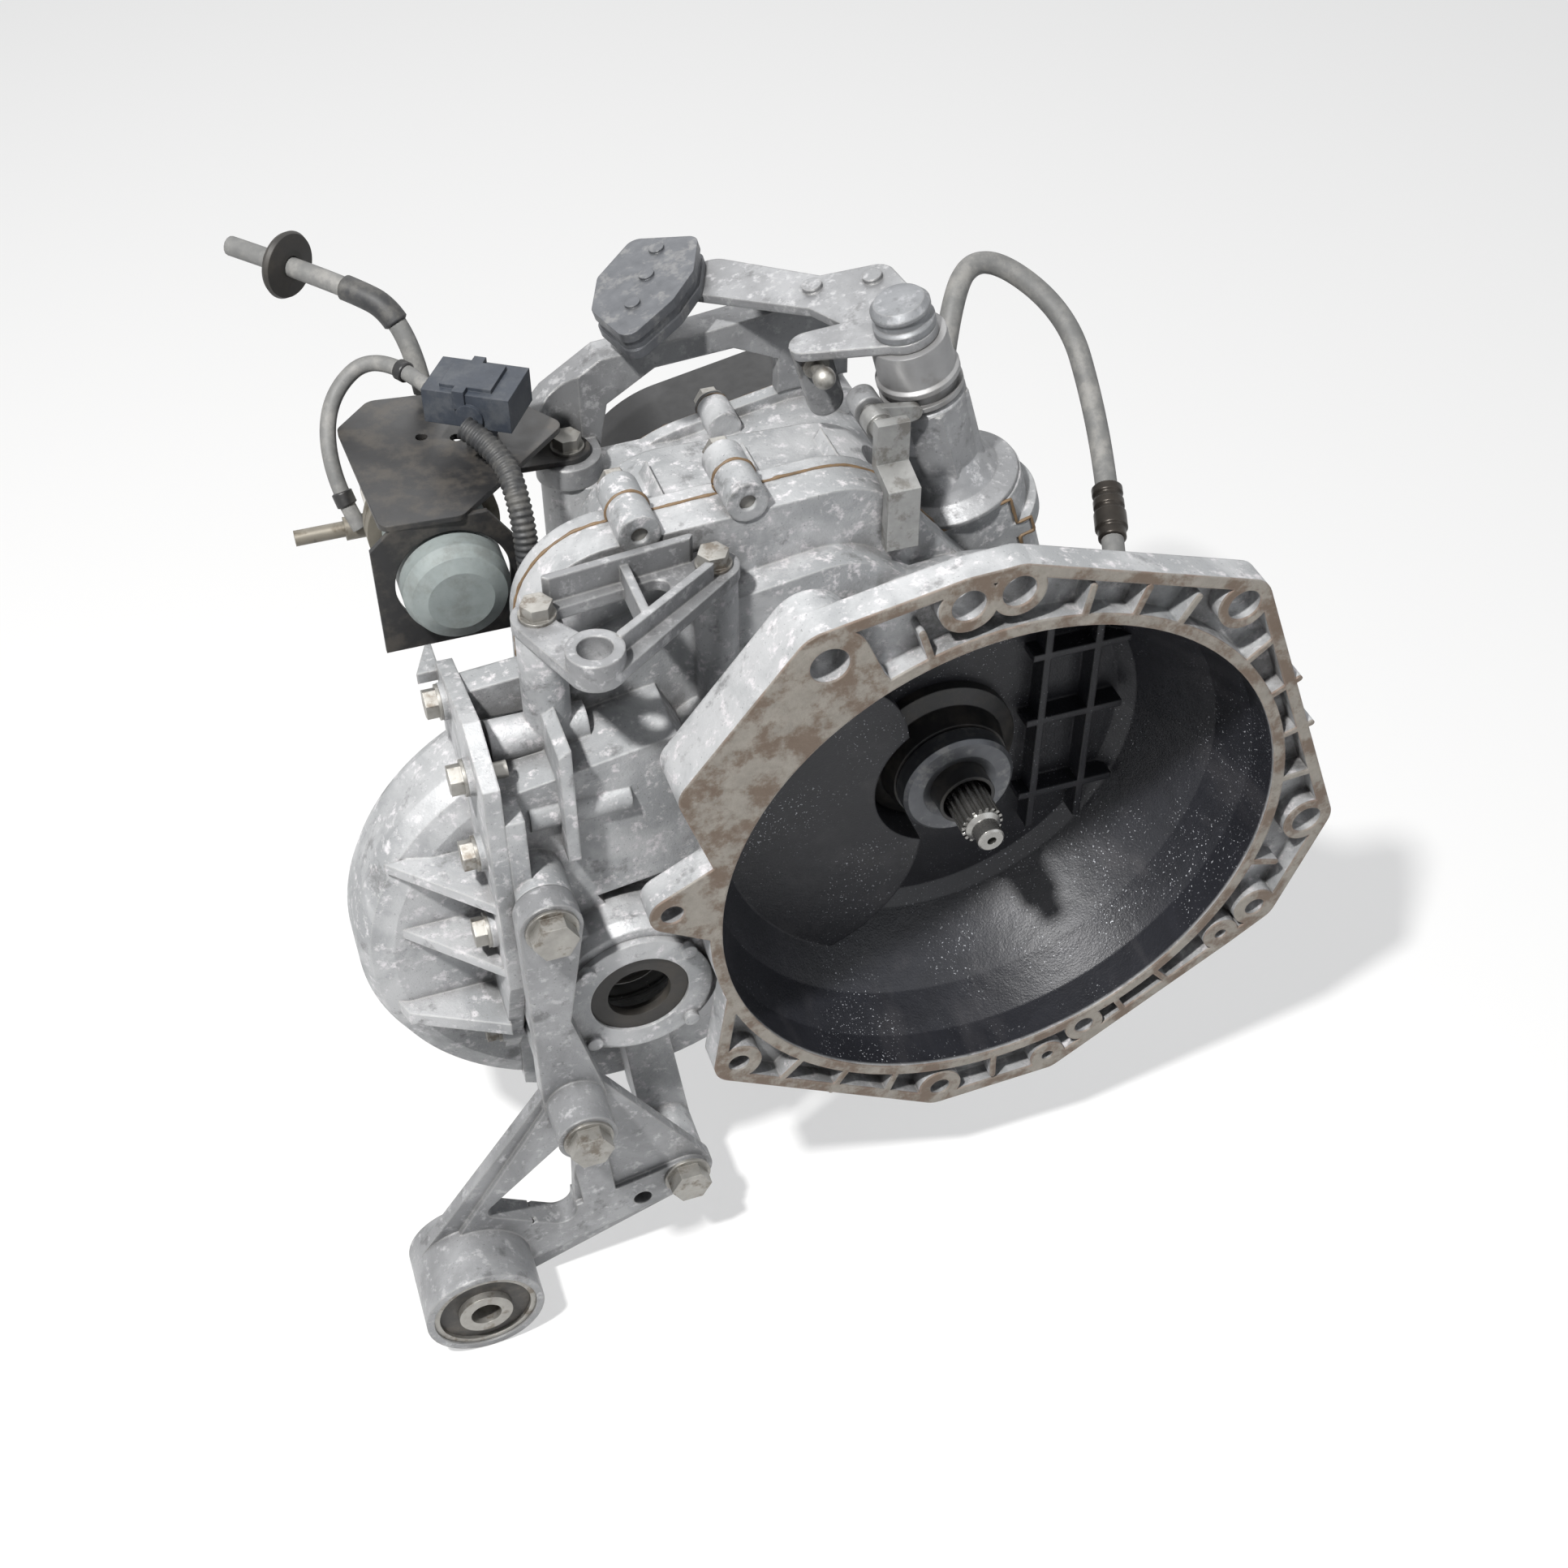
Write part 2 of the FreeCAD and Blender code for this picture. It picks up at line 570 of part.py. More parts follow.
def make_clutch_housing():
    """The bell, its engine flange and the front half of the gear and differential chambers."""
    ring = d.bell_radius.value + d.bell_wall.value
    thick = d.flange_thickness
    web_front = thick - d.flange_web
    floor_back = d.bell_floor + d.floor_wall
    flange = [
        block(("belt", flange_circles()), web_front, thick),
        block(("belt", flange_circles()), 0, web_front, hole=("belt", flange_circles(d.bell_wall))),
        spun([(0, 0), (ring, 0), (ring, 26), (ring - 9, 46), (122, d.bell_floor), (116, floor_back),
              (0, floor_back)]),
    ]
    bosses = [bolt_place(bolt) + (bolt[2] - 1,) for bolt in ENGINE_BOLTS + INNER_BOSSES]
    flange += drilled(bosses, 0, thick)
    flange += [block(("belt", [polar(angle, ring - 2) + (1.6,),
                               polar(angle, d.flange_bolt_radius - 4) + (1.6,)]), 0, web_front)
               for angle in FLANGE_RIBS]
    ear = bolt_place(EAR_BOLT)
    flange.append(block(("belt", [ear + (EAR_BOLT[2],), (-135, 0, 9), (-130, 40, 14)]), 0, thick))
    flange.append(block(("belt", [(-151, 92, 12), (-130, 30, 12), (-90, 90, 40), (-93.7, 152, 19)]), 0, 30))
    drum_front = d.final_front - 4 - d.case_wall
    side = d.cover_plane
    chambers = [
        block(("belt", joint_circles()[:4] + [(-150, -40, 60)]), SHOULDER, d.joint_plane),
        block(("belt", joint_circles()[:2] + [(-60, 92, 46), (-150, 78, 46), (-150, -40, 60)]), 82, SHOULDER),
        drum_solid(bulge_radius, drum_front, d.joint_plane),
        block([(side, 80), (-190, 80), (-190, 102), (side, 98)], 97, 112),
        spun([(0, 24), (42, 24), (45, 30), (45, 54), (60, 62), (60, drum_front + 2), (0, drum_front + 2)],
             FINAL),
        block([(side, -72), (side + 9, -72), (side + 9, 78), (side, 78)], 26, drum_front + 2),
        block([(-230, 78), (-150, 92), (-135, 60), (-135, 10), (-200, 0), (-230, 20)], 44, 84),
        block([(-208, 40), (-202, 40), (-202, 108), (-208, 104)], 32, 110),
        block([(side, -10), (-180, -20), (-180, -14), (side, -4)], 30, drum_front + 2),
    ]
    for x, z, radius in MOUNT_BOSSES:
        towards = ((x + d.final_x.value) / 2, (z + d.final_z.value) / 2, radius - 1)
        chambers.append(block(("belt", [(x, z, radius), towards]), 44, drum_front + 2))
    chambers += drilled(MOUNT_BOSSES, d.mount_plane, 60)
    chambers += drilled([(74, 86, 10)], -232, -186, "YZ_Plane")
    chambers += drilled([(48, 60, 8)], -222, -174, "YZ_Plane")
    chambers += drilled(JOINT_BOSSES, SHOULDER - 1, d.joint_plane)
    chambers += drilled(CABLE_FEET, 60, CABLE_SEAT, "XY_Plane")
    trim = block(left_of(side), -10, 400)
    bell = spun([(0, -1), (d.bell_radius, -1), (d.bell_radius, 22), (d.bell_radius - 8, 46),
                 (112, d.bell_floor - 6), (104, d.bell_floor), (0, d.bell_floor)])
    lobe = [
        block(("belt", [(-92, -34, 76), (-72, 32, 46), (-120, 50, 30)]), d.lobe_front, 90),
        block(("circle", 0, 0, 33), d.bell_floor, d.joint_plane - 1),
    ]
    lobe[0] = lobe[0].cut(y_cylinder(43, 60, d.bell_floor.value))
    lobe += [block([(x, -66), (x + 4, -66), (x + 4, 96), (x, 96)], 80, d.bell_floor + 1) for x in (52, 80)]
    lobe += [block([(46, z), (100, z), (100, z + 4), (46, z + 4)], 80, d.bell_floor + 1)
             for z in (-44, 8, 52)]
    chamber = ("belt", [(x, z, radius - d.case_wall.value) for x, z, radius in
                        (BOTTOM, RIGHT, RIGHT_TOP, (-110, 112, 46))])
    seat = d.seat_clearance
    hollows = [
        drum_solid(chamber_radius, d.final_front - 4, d.joint_plane + 1),
        block(left_of(side + 1, -120, 40), d.final_front - 4, d.joint_plane + 1),
        block(("circle",) + OUTPUT + (37,), d.final_front - 3, d.joint_plane + 1),
        block(chamber, floor_back, d.joint_plane + 1).cut(y_cylinder(33, 80, 130)),
        spun(tube_profile(0, d.bearing_outer + seat, BEARING_FRONT["input_front"], 130)),
        spun(tube_profile(0, 15, 80, 130)),
        spun(tube_profile(0, d.bearing_outer + seat, BEARING_FRONT["output_front"], 100), OUTPUT),
        spun([(0, 18), (34, 18), (34, 44), (d.final_bearing_outer + seat, 44),
              (d.final_bearing_outer + seat, FINAL_CENTRE - CAGE_HALF - 2),
              (d.final_case_radius + 4, FINAL_CENTRE - CAGE_HALF - 2), (d.final_case_radius + 4, 130),
              (0, 130)], FINAL),
    ]
    for bolt in ENGINE_BOLTS + INNER_BOSSES + [EAR_BOLT]:
        if bolt[3]:
            hollows.append(block(("circle",) + bolt_place(bolt) + (bolt[3],), -1, 40))
    tapped = d.mount_bolt_radius + seat
    hollows += drilled([(x, z, tapped) for x, z, radius in MOUNT_BOSSES], 18, d.mount_plane + 26)
    hollows += drilled([(x, z, d.bolt_radius + seat) for x, z, radius in JOINT_BOSSES], 70, 130)
    hollows += drilled([(y, z, d.bolt_radius + seat) for y, z in COVER_BOLTS], side - 1, side + 9, "YZ_Plane")
    hollows += drilled([(x, y, d.bolt_radius + seat) for x, y, radius in CABLE_FEET],
                       CABLE_SEAT - 22, CABLE_SEAT + 1, "XY_Plane")
    return casting("clutch_housing", [(flange + chambers, [trim, bell]), (lobe, hollows)])


make_clutch_housing()


# ---------------------------------------------------------------- gear case
# outlines looking along +Y: (x, z, radius) round the shafts and the shift rails
FRONT_CASE = [(6, -6, 54), (10, 34, 52), (-46, 106, 46), (-116, 108, 46), (-76, 24, 70)]
REAR_CASE = [(4, -6, 54), (10, 34, 50), (-24, 84, 40), (-72, 44, 70), (-70, 24, 70)]
STEP_Y = 178
RAILS = {"12": (-62, 100), "34": (-36, 98), "5r": (-10, 92)}
IDLER = (4.4, 40.9)
IDLER_POST = (20, 62)
ARM_FOOT = (-150, 232)
ARM_SEAT = 112


def grown(circles, extra):
    return ("belt", [(x, z, radius + as_size(extra).value) for x, z, radius in circles])


def tower_point(along, across=0, forward=0):
    """A point on the leaning tower: along its axis, across it and forward along Y."""
    tilt = math.radians(d.tower_tilt.value)
    return Vector(d.tower_x.value + across * math.cos(tilt) - along * math.sin(tilt),
                  d.tower_y.value + forward,
                  d.tower_z.value + across * math.sin(tilt) + along * math.cos(tilt))


TOWER_BASE = (d.tower_x, d.tower_y, d.tower_z)


def tower_cylinder(radius, low, high):
    return Part.makeCylinder(radius, high - low, tower_point(low), tower_point(1) - tower_point(0))


TOWER_SEAT = 22
SPIGOT = 19.9


def tower_stub(front):
    """The case's boss under the selector tower, flat where it meets the castings' joint."""
    stub = tower_cylinder(37, -44, TOWER_SEAT).fuse(tower_cylinder(42, -3, 6))
    return stub.cut(Part.makeBox(200, 200, 300, Vector(-60, front.value - 200, -50)))


def make_gear_case():
    """The rear casting: gear chamber, bearing wall and the rear differential bearing's boss."""
    wall = d.case_wall.value
    back = d.case_end
    front = d.joint_plane
    rear_hub = FINAL_CENTRE + CAGE_HALF + 2
    solids = [
        block(("belt", joint_circles()[:4] + [(-150, -40, 60)]), front, front + 9),
        drum_solid(bulge_radius, front, front + 8),
        block(grown(FRONT_CASE, 0), front, STEP_Y),
        block(grown(REAR_CASE, 0), STEP_Y - 10, back),
        spun([(0, front), (66, front), (62, rear_hub + 4), (46, rear_hub + 12), (46, 172), (0, 172)], FINAL),
        block([(-230, -50), (-130, -60), (-120, 20), (-200, 30)], front, 150),
        tower_stub(front),
        block(("belt", [(ARM_FOOT[0], ARM_FOOT[1], 15), (-90, 226, 24)]), 40, ARM_SEAT, "XY_Plane"),
        block(grown(REAR_CASE, 6), back - 8, back),
    ]
    solids += drilled(JOINT_BOSSES, front, front + 17)
    solids += drilled([(x, z, 9) for x, z in cover_bolt_places()], back - 20, back)
    solids += [block([(x, 100), (x + 5, 100), (x + 5, 158), (x, 150)], front + 4, STEP_Y - 14)
               for x in (-132, -84, -44)]
    solids += [block([(-214, z), (-120, z), (-120, z + 5), (-214, z + 5)], front + 4, 160)
               for z in (-76, -18)]
    seat = d.seat_clearance
    bearing = d.bearing_outer + seat
    wall_front = back - d.bearing_wall
    hollows = [
        tower_cylinder(36.4, TOWER_SEAT, TOWER_SEAT + 40),
        block(grown(FRONT_CASE, -wall), front - 1, STEP_Y - wall),
        block(grown(REAR_CASE, -wall), front + 12, wall_front),
        block(left_of(d.cover_plane), -10, 400),
        spun([(0, 100), (d.final_case_radius + 4, 100), (d.final_case_radius + 4, rear_hub),
              (d.final_bearing_outer + seat, rear_hub),
              (d.final_bearing_outer + seat, rear_hub + FINAL_BEARING_WIDTH),
              (26 + seat, rear_hub + FINAL_BEARING_WIDTH), (26 + seat, 180), (0, 180)], FINAL),
        spun(tube_profile(0, bearing, BEARING_FRONT["input_rear"], 260)),
        spun(tube_profile(0, 18, wall_front - 5, 260)),
        spun(tube_profile(0, bearing, BEARING_FRONT["output_rear"], 260), OUTPUT),
        spun(tube_profile(0, 18, wall_front - 5, 260), OUTPUT),
        block(("circle",) + IDLER_POST + (6 + seat,), wall_front - 5, 260),
        tower_cylinder(27, -38, 14),
        tower_cylinder(SPIGOT + seat.value, 10, TOWER_SEAT + 1),
    ]
    for x, z in RAILS.values():
        hollows.append(y_cylinder(d.rail_radius.value + d.run_clearance.value, wall_front.value - 5, 260, x, z))
    hollows += drilled([(x, z, d.bolt_radius + seat) for x, z, _ in JOINT_BOSSES], 100, 150)
    hollows += drilled([(x, z, d.bolt_radius + seat) for x, z in cover_bolt_places()], back - 16, 260)
    hollows.append(Part.makeCylinder(4 + seat.value, 30, Vector(ARM_FOOT[0], ARM_FOOT[1], ARM_SEAT - 22)))
    return casting("gear_case", [(solids, hollows)])


def cover_bolt_places():
    """Ten places spread round the gear case's rear rim."""
    wire = outline_wire(grown(REAR_CASE, 5))
    return [(point.x, point.y) for point in wire.discretize(Number=11)[:-1]]


make_gear_case()


def make_end_cover():
    """A pressed pan with a scalloped rim over fifth and reverse."""
    back = d.case_end + d.end_cover_depth
    rim = [("circle", x, z, 9) for x, z in cover_bolt_places()]
    start = d.case_end + 0.6
    pan = [(x, z, radius - 7) for x, z, radius in REAR_CASE]
    shell = block(grown(pan, 0), start, back).cut(block(grown(pan, -d.sheet_wall), start - 1,
                                                        back - d.sheet_wall))
    flange = joined([block(grown(REAR_CASE, 2), start, start + d.sheet_wall)]
                    + [block(circle, start, start + d.sheet_wall) for circle in rim])
    inner = block(grown(pan, -d.sheet_wall), start - 1, back - d.sheet_wall)
    step = block(grown(pan, 2), start, start + 9).cut(inner)
    cover = joined([shell, flange, step]).cut([inner] + [
        y_cylinder(d.bolt_radius.value + 0.3, start.value - 1, start.value + 12, x, z)
        for x, z in cover_bolt_places()])
    return shape_node("end_cover", cover.removeSplitter())


def make_end_gasket():
    front = d.case_end
    inner = block(grown(REAR_CASE, -d.case_wall), front - 1, front + 2)
    ears = [y_cylinder(8.5, front.value, front.value + 0.6, x, z) for x, z in cover_bolt_places()]
    plate = joined([block(grown(REAR_CASE, 5), front, front + 0.6)] + ears).cut([inner] + [
        y_cylinder(d.bolt_radius.value + 0.3, front.value - 1, front.value + 2, x, z)
        for x, z in cover_bolt_places()])
    return shape_node("end_cover_gasket", plate)


make_end_cover()
make_end_gasket()


# ---------------------------------------------------------------- differential cover
def make_differential_cover():
    """The ribbed side cover: a flange and half of the ring gear's drum."""
    side = d.cover_plane
    outer = side - d.cover_flange
    front = d.final_front - 4 - d.case_wall
    back = d.joint_plane + 8
    x, z = FINAL[0].value, FINAL[1].value
    drum = spun([(0, front), (bulge_radius - 16, front), (bulge_radius - 5, front + 4),
                 (bulge_radius, front + 14), (bulge_radius, back - 10), (bulge_radius - 3, back - 3),
                 (bulge_radius - 10, back), (0, back)], FINAL)
    drum = drum.cut(block(right_of(side), -10, 400))
    flange = block([(26, 100), (26, -30), (62, -108), (76, -130), (back, -130), (back, 96), (60, 112)],
                   outer, side, "YZ_Plane")
    ribs = [block([(outer + 1, 34), (outer + 1, front + 3), (outer - 44, front + 3)], level, level + 6,
                  "XY_Plane") for level in (14, -30)]
    ribs.append(block([(outer + 1, 44), (outer + 1, front + 3), (outer - 50, front + 3), (outer - 46, 68)],
                      -84, -76, "XY_Plane"))
    ribs.append(block([(outer + 1, back - 4), (outer + 1, back + 16), (outer - 2, back + 16),
                       (outer - 10, back - 4)], 88, 94, "XY_Plane"))
    bosses = [block(("circle", y, level, 9), outer - 3, side, "YZ_Plane") for y, level in COVER_BOLTS]
    holes = [block(("circle", y, level, d.bolt_radius + 0.3), outer - 20, side + 1, "YZ_Plane")
             for y, level in COVER_BOLTS]
    hollow = y_cylinder(chamber_radius, (d.final_front - 4).value, d.joint_plane.value, x, z)
    return casting("differential_cover", [([drum, flange] + ribs + bosses, [hollow] + holes)])


make_differential_cover()


# ---------------------------------------------------------------- screws
def screw(place_at, direction, shank, across, length, head=6, flange=1.6):
    """A flanged hexagon screw: head towards the given direction, shank the other way."""
    x, y, z = (as_size(number).value for number in place_at)
    shank, across, length = (as_size(number).value for number in (shank, across, length))
    corner = across / math.cos(math.radians(30))
    points = [Vector(*polar(60 * i, corner), flange) for i in range(6)]
    solid = Part.Face(Part.makePolygon(points + points[:1])).extrude(Vector(0, 0, head))
    solid = joined([outward(solid), Part.makeCylinder(corner * 1.15, flange),
                    Part.makeCylinder(shank, length, Vector(0, 0, -length))])
    turn = Rotation(Vector(0, 0, 1), Vector(*direction))
    solid.Placement = Placement(Vector(x, y, z), turn)
    return solid


def screw_node(label, places, direction, shank, across, length):
    solids = [screw(at, direction, shank, across, length) for at in places]
    return shape_node(label, Part.makeCompound(solids))


screw_node("differential_cover_bolts", [(d.cover_plane - d.cover_flange - 3, y, z) for y, z in COVER_BOLTS],
           (-1, 0, 0), d.bolt_radius, d.bolt_head, d.cover_flange + 11)
screws = [screw((x, d.case_end + 0.6 + d.sheet_wall, z), (0, 1, 0), d.bolt_radius, d.bolt_head, 14)
          for x, z in cover_bolt_places()]
screws += [screw((x, d.joint_plane + 17, z), (0, 1, 0), d.bolt_radius, d.bolt_head, 36)
           for x, z, radius in JOINT_BOSSES]
shape_node("case_bolts", Part.makeCompound(screws))


# ---------------------------------------------------------------- shafts and gears
def ridged(teeth, tip, root, phase=0.0, share=0.30):
    """A closed outline with straight-sided ridges, for splines and dog rings."""
    step = 2 * math.pi / teeth
    points = []
    for tooth in range(teeth):
        for radius, offset in ((root, -share), (tip, -share * 0.7), (tip, share * 0.7), (root, share)):
            angle = (tooth + phase + offset) * step
            points.append((radius * math.cos(angle), radius * math.sin(angle)))
    return points


ON_OUTPUT = (d.output_x, 0, d.output_z)
CROSSING = (d.final_x, FINAL_CENTRE, d.final_z)
DOG_TIP, DOG_ROOT = 30.0, 27.0
DOG_CLEARANCE = 0.5
COLLAR = DOG_ROOT + DOG_CLEARANCE - 0.3
output_line = axis_angle(INPUT, OUTPUT)
final_line = axis_angle(OUTPUT, FINAL)


def make_input_shaft():
    """The splined input shaft in one piece with its five gears and the reverse pinion."""
    core = d.input_core
    pieces = [
        spun([(0, d.input_tip), (6, d.input_tip), (7, d.input_tip + 1), (7, 26), (9.3, 28), (9.3, 66),
              (core, 70), (core, BEARING_FRONT["input_front"]),
              (d.bearing_outer / 2, BEARING_FRONT["input_front"]),
              (d.bearing_outer / 2, d.first_gear_front - 2), (core, d.first_gear_front - 2),
              (core, SHAFT_END), (0, SHAFT_END)]),
        block(ridged(18, d.spline_radius.value, 9.2), 29, 64),
    ]
    for speed, (teeth, _) in SPEED_TEETH.items():
        pieces.append(gear_solid(teeth, speed_module, 0, FRONT[speed].value, width.value))
    pieces.append(gear_solid(REVERSE_TEETH[0], speed_module, 0, FRONT["reverse"].value,
                             REVERSE_WIDTH.value))
    centre_drill = spun([(0, d.input_tip - 1), (2.4, d.input_tip - 1), (2.4, d.input_tip + 4),
                         (0, d.input_tip + 6)])
    return shape_node("input_shaft", joined(pieces).cut(centre_drill))


def loose_gear(label, teeth, mate, front, gear_width, dog_side):
    """A gear that runs free on the output shaft, with a smooth collar for its sleeve on one side."""
    phase = meshing_phase(mate, 0, teeth, output_line)
    front, gear_width = front.value, gear_width.value
    solid = gear_solid(teeth, speed_module, phase, front, gear_width)
    dog_front = front + gear_width if dog_side > 0 else front - dog.value
    ring = y_cylinder(COLLAR, dog_front, dog_front + dog.value)
    bore = y_cylinder(d.shaft_radius.value + d.run_clearance.value, front - 5, front + gear_width + 5)
    return shape_node(label, solid.fuse(ring).cut(bore), ON_OUTPUT)


def make_output_shaft():
    """The output shaft with its final drive pinion and three synchroniser hubs."""
    radius = d.shaft_radius
    front = BEARING_FRONT["output_front"]
    pieces = [
        spun([(0, front), (d.bearing_outer / 2, front), (d.bearing_outer / 2, d.final_front),
              (22, d.final_front), (22, d.final_front + d.final_width),
              (radius + 4, d.final_front + d.final_width + 2), (radius + 4, d.first_gear_front - gap / 2),
              (radius, d.first_gear_front - gap / 2), (radius, SHAFT_END), (0, SHAFT_END)]),
        gear_solid(FINAL_TEETH[0], final_module, 0.0, d.final_front.value, d.final_width.value),
    ]
    for start in HUB_FRONT.values():
        pieces.append(block(ridged(DOG_TEETH, DOG_TIP, DOG_ROOT), start, start + hub))
    return shape_node("output_shaft", joined(pieces), ON_OUTPUT)


def make_sleeve(name):
    """A shift sleeve: splined inside, grooved outside for the fork."""
    middle = (HUB_FRONT[name] + hub / 2).value
    half = d.sleeve_width.value / 2
    outside = spun([(0, middle - half), (42, middle - half), (42, middle - 2.2), (37, middle - 2.2),
                    (37, middle + 2.2), (42, middle + 2.2), (42, middle + half), (0, middle + half)])
    inside = block(ridged(DOG_TEETH, DOG_TIP + DOG_CLEARANCE, DOG_ROOT + DOG_CLEARANCE, 0, 0.34),
                   middle - half - 1, middle + half + 1)
    return shape_node("sleeve_" + name, outside.cut(inside), ON_OUTPUT)


# each gate's bends beside the selector shaft: (across, along) on the tower's own axes
GATE_BENDS = {"12": [(-80, 8), (-66.6, -4.4), (-59, -21)], "34": [(-54, -4), (-50, -16)], "5r": [(-36, -11)]}
GATE_LEVEL = {"12": -21, "34": -16, "5r": -11}
GATE_HALF = 4.6
NOTCH_HALF = 3.5
FINGER_REACH = 22


def gate(name):
    """The bent plate from a shift rail to the notch that the selector's finger enters."""
    tilt = math.radians(d.tower_tilt.value)
    rail_x, rail_z = RAILS[name]
    dx, dz = rail_x - d.tower_x.value, rail_z - d.tower_z.value
    middle = d.tower_y.value
    start = (dx * math.cos(tilt) + dz * math.sin(tilt), dz * math.cos(tilt) - dx * math.sin(tilt))
    bends = [start] + GATE_BENDS[name] + [(2.4 - FINGER_REACH, GATE_LEVEL[name])]
    plates = [block(("belt", [first + (1.7,), second + (1.7,)]), middle - GATE_HALF, middle + GATE_HALF)
              for first, second in zip(bends, bends[1:])]
    notch = Part.makeBox(12, 2 * NOTCH_HALF, 8, Vector(-FINGER_REACH - 4, middle - NOTCH_HALF,
                                                      GATE_LEVEL[name] - 4))
    solid = joined(plates).cut(notch)
    solid.Placement = Placement(Vector(d.tower_x.value, 0, d.tower_z.value),
                                Rotation(Vector(0, 1, 0), -d.tower_tilt.value))
    return [solid, y_cylinder(8, middle - GATE_HALF, middle + GATE_HALF, rail_x, rail_z)]


def make_fork(name):
    """A shift fork in one piece with its rail and the gate that the selector's finger pushes."""
    x, z = OUTPUT[0].value, OUTPUT[1].value
    rail_x, rail_z = RAILS[name]
    middle = (HUB_FRONT[name] + hub / 2).value
    blade = 1.9
    arc = block(("circle", x, z, 48), middle - blade, middle + blade).cut(
        [y_cylinder(37.4, middle - 10, middle + 10, x, z),
         block([(x - 60, z - 60), (x + 60, z - 60), (x + 60, z - 2), (x - 60, z - 2)], middle - 10,
               middle + 10)])
    angle = math.atan2(rail_z - z, rail_x - x)
    web = block(("belt", [(rail_x, rail_z, 9), (x + 44 * math.cos(angle), z + 44 * math.sin(angle), 9)]),
                middle - blade, middle + blade)
    web = web.cut(y_cylinder(42.6, middle - 10, middle + 10, x, z))
    boss = y_cylinder(8, middle - 5, middle + 5, rail_x, rail_z)
    rail_front = 124.0 + d.sleeve_travel.value
    rail = y_cylinder(d.rail_radius.value, rail_front, SHAFT_END.value - 12, rail_x, rail_z)
    return shape_node("fork_" + name, joined([arc, web, boss, rail] + gate(name)))


make_input_shaft()
make_output_shaft()
for speed, (mate, teeth) in SPEED_TEETH.items():
    loose_gear("gear_%d" % speed, teeth, mate, FRONT[speed], width, 1 if speed in (1, 3, 5) else -1)
for name in HUB_FRONT:
    make_sleeve(name)
    make_fork(name)


def make_reverse():
    """The reverse idler on its fixed shaft, and the loose reverse gear that it drives."""
    front, depth = FRONT["reverse"].value, REVERSE_WIDTH.value
    idler_x, idler_z = IDLER
    first = meshing_phase(REVERSE_TEETH[0], 0, REVERSE_TEETH[1], math.atan2(idler_z, idler_x))
    idler = gear_solid(REVERSE_TEETH[1], speed_module, first, front, depth)
    idler = idler.cut(y_cylinder(6 + d.run_clearance.value, front - 1, front + depth + 1))
    shape_node("reverse_idler", idler, (idler_x, 0, idler_z))
    stay = block(("belt", [IDLER_POST + (8,), IDLER + (9,)]), front - 6, front - 1)
    shape_node("reverse_idler_shaft", joined([
        y_cylinder(6, front - 2, SHAFT_END.value, *IDLER), stay,
        y_cylinder(6, d.case_end.value - 16, front - 2, *IDLER_POST),
        y_cylinder(8.5, d.case_end.value, front - 2, *IDLER_POST)]))
    x, z = OUTPUT[0].value, OUTPUT[1].value
    second = meshing_phase(REVERSE_TEETH[1], first, REVERSE_TEETH[2],
                           math.atan2(z - idler_z, x - idler_x))
    gear = gear_solid(REVERSE_TEETH[2], speed_module, second, front, depth)
    ring = y_cylinder(COLLAR, front - dog.value, front)
    gear = gear.fuse(ring).cut(y_cylinder(d.shaft_radius.value + d.run_clearance.value, front - 5, 400))
    shape_node("reverse_gear", gear, ON_OUTPUT)


make_reverse()


# ---------------------------------------------------------------- differential
def make_differential():
    x, z = FINAL[0].value, FINAL[1].value
    phase = meshing_phase(FINAL_TEETH[0], 0.0, FINAL_TEETH[1], final_line)
    ring = gear_solid(FINAL_TEETH[1], final_module, phase, d.final_front.value, d.final_width.value)
    shape_node("ring_gear", ring.cut(y_cylinder(84, 0, 300)), (d.final_x, 0, d.final_z))
    centre = FINAL_CENTRE.value
    half = CAGE_HALF.value
    cage = d.final_case_radius.value
    hub_radius = d.final_hub.value
    hub_end = half + FINAL_BEARING_WIDTH.value + 1
    case = spun([(15, -hub_end), (hub_radius, -hub_end), (hub_radius, -half - 1), (24, -half - 1),
                 (24, -half), (34, -half), (cage, -18), (cage, 11), (98, 11), (98, 16), (cage, 16),
                 (cage, 18), (34, half), (24, half), (24, half + 1), (hub_radius, half + 1),
                 (hub_radius, hub_end), (15, hub_end)])
    inside = spun([(0, -27), (30, -27), (40, -18), (40, 18), (30, 27), (0, 27)])
    window = Part.makeBox(200, 36, 44, Vector(-100, -26, -22)).cut(
        Part.makeBox(400, 5.4, 400, Vector(-200, 10.8, -200)))
    case = case.cut([inside, window, Part.makeCylinder(7, 120, Vector(0, 0, -60))])
    heads = [y_cylinder(5, 15.5, 17.4, *polar(45 * i + 22.5, 90)) for i in range(8)]
    case = joined([case] + heads)
    shape_node("differential_case", case, CROSSING)
    pin = Part.makeCylinder(6.95, 2 * cage - 2, Vector(x, centre, z - cage + 1))
    shape_node("cross_pin", pin)


BEVEL_MODULE = 3.6
SIDE_TEETH, SPIDER_TEETH = 14, 10


def bevel(teeth, mate_teeth, phase, bore):
    """A straight bevel gear pointing along -Y, its apex at the origin."""
    large = mate_teeth * BEVEL_MODULE / 2
    small = large * 0.62
    wires = []
    for station in (large, small):
        share = station / large
        wire = gear_wire(teeth, BEVEL_MODULE, phase, 0)
        wire.scale(share)
        wire.translate(Vector(0, -station, 0))
        wires.append(wire)
    solid = outward(Part.makeLoft(wires, True, True))
    hub_radius = (teeth / 2 - 1.3) * BEVEL_MODULE
    solid = solid.fuse(y_cylinder(hub_radius, -26.5, -large + 0.5))
    return solid.cut(y_cylinder(bore, -60, 10))


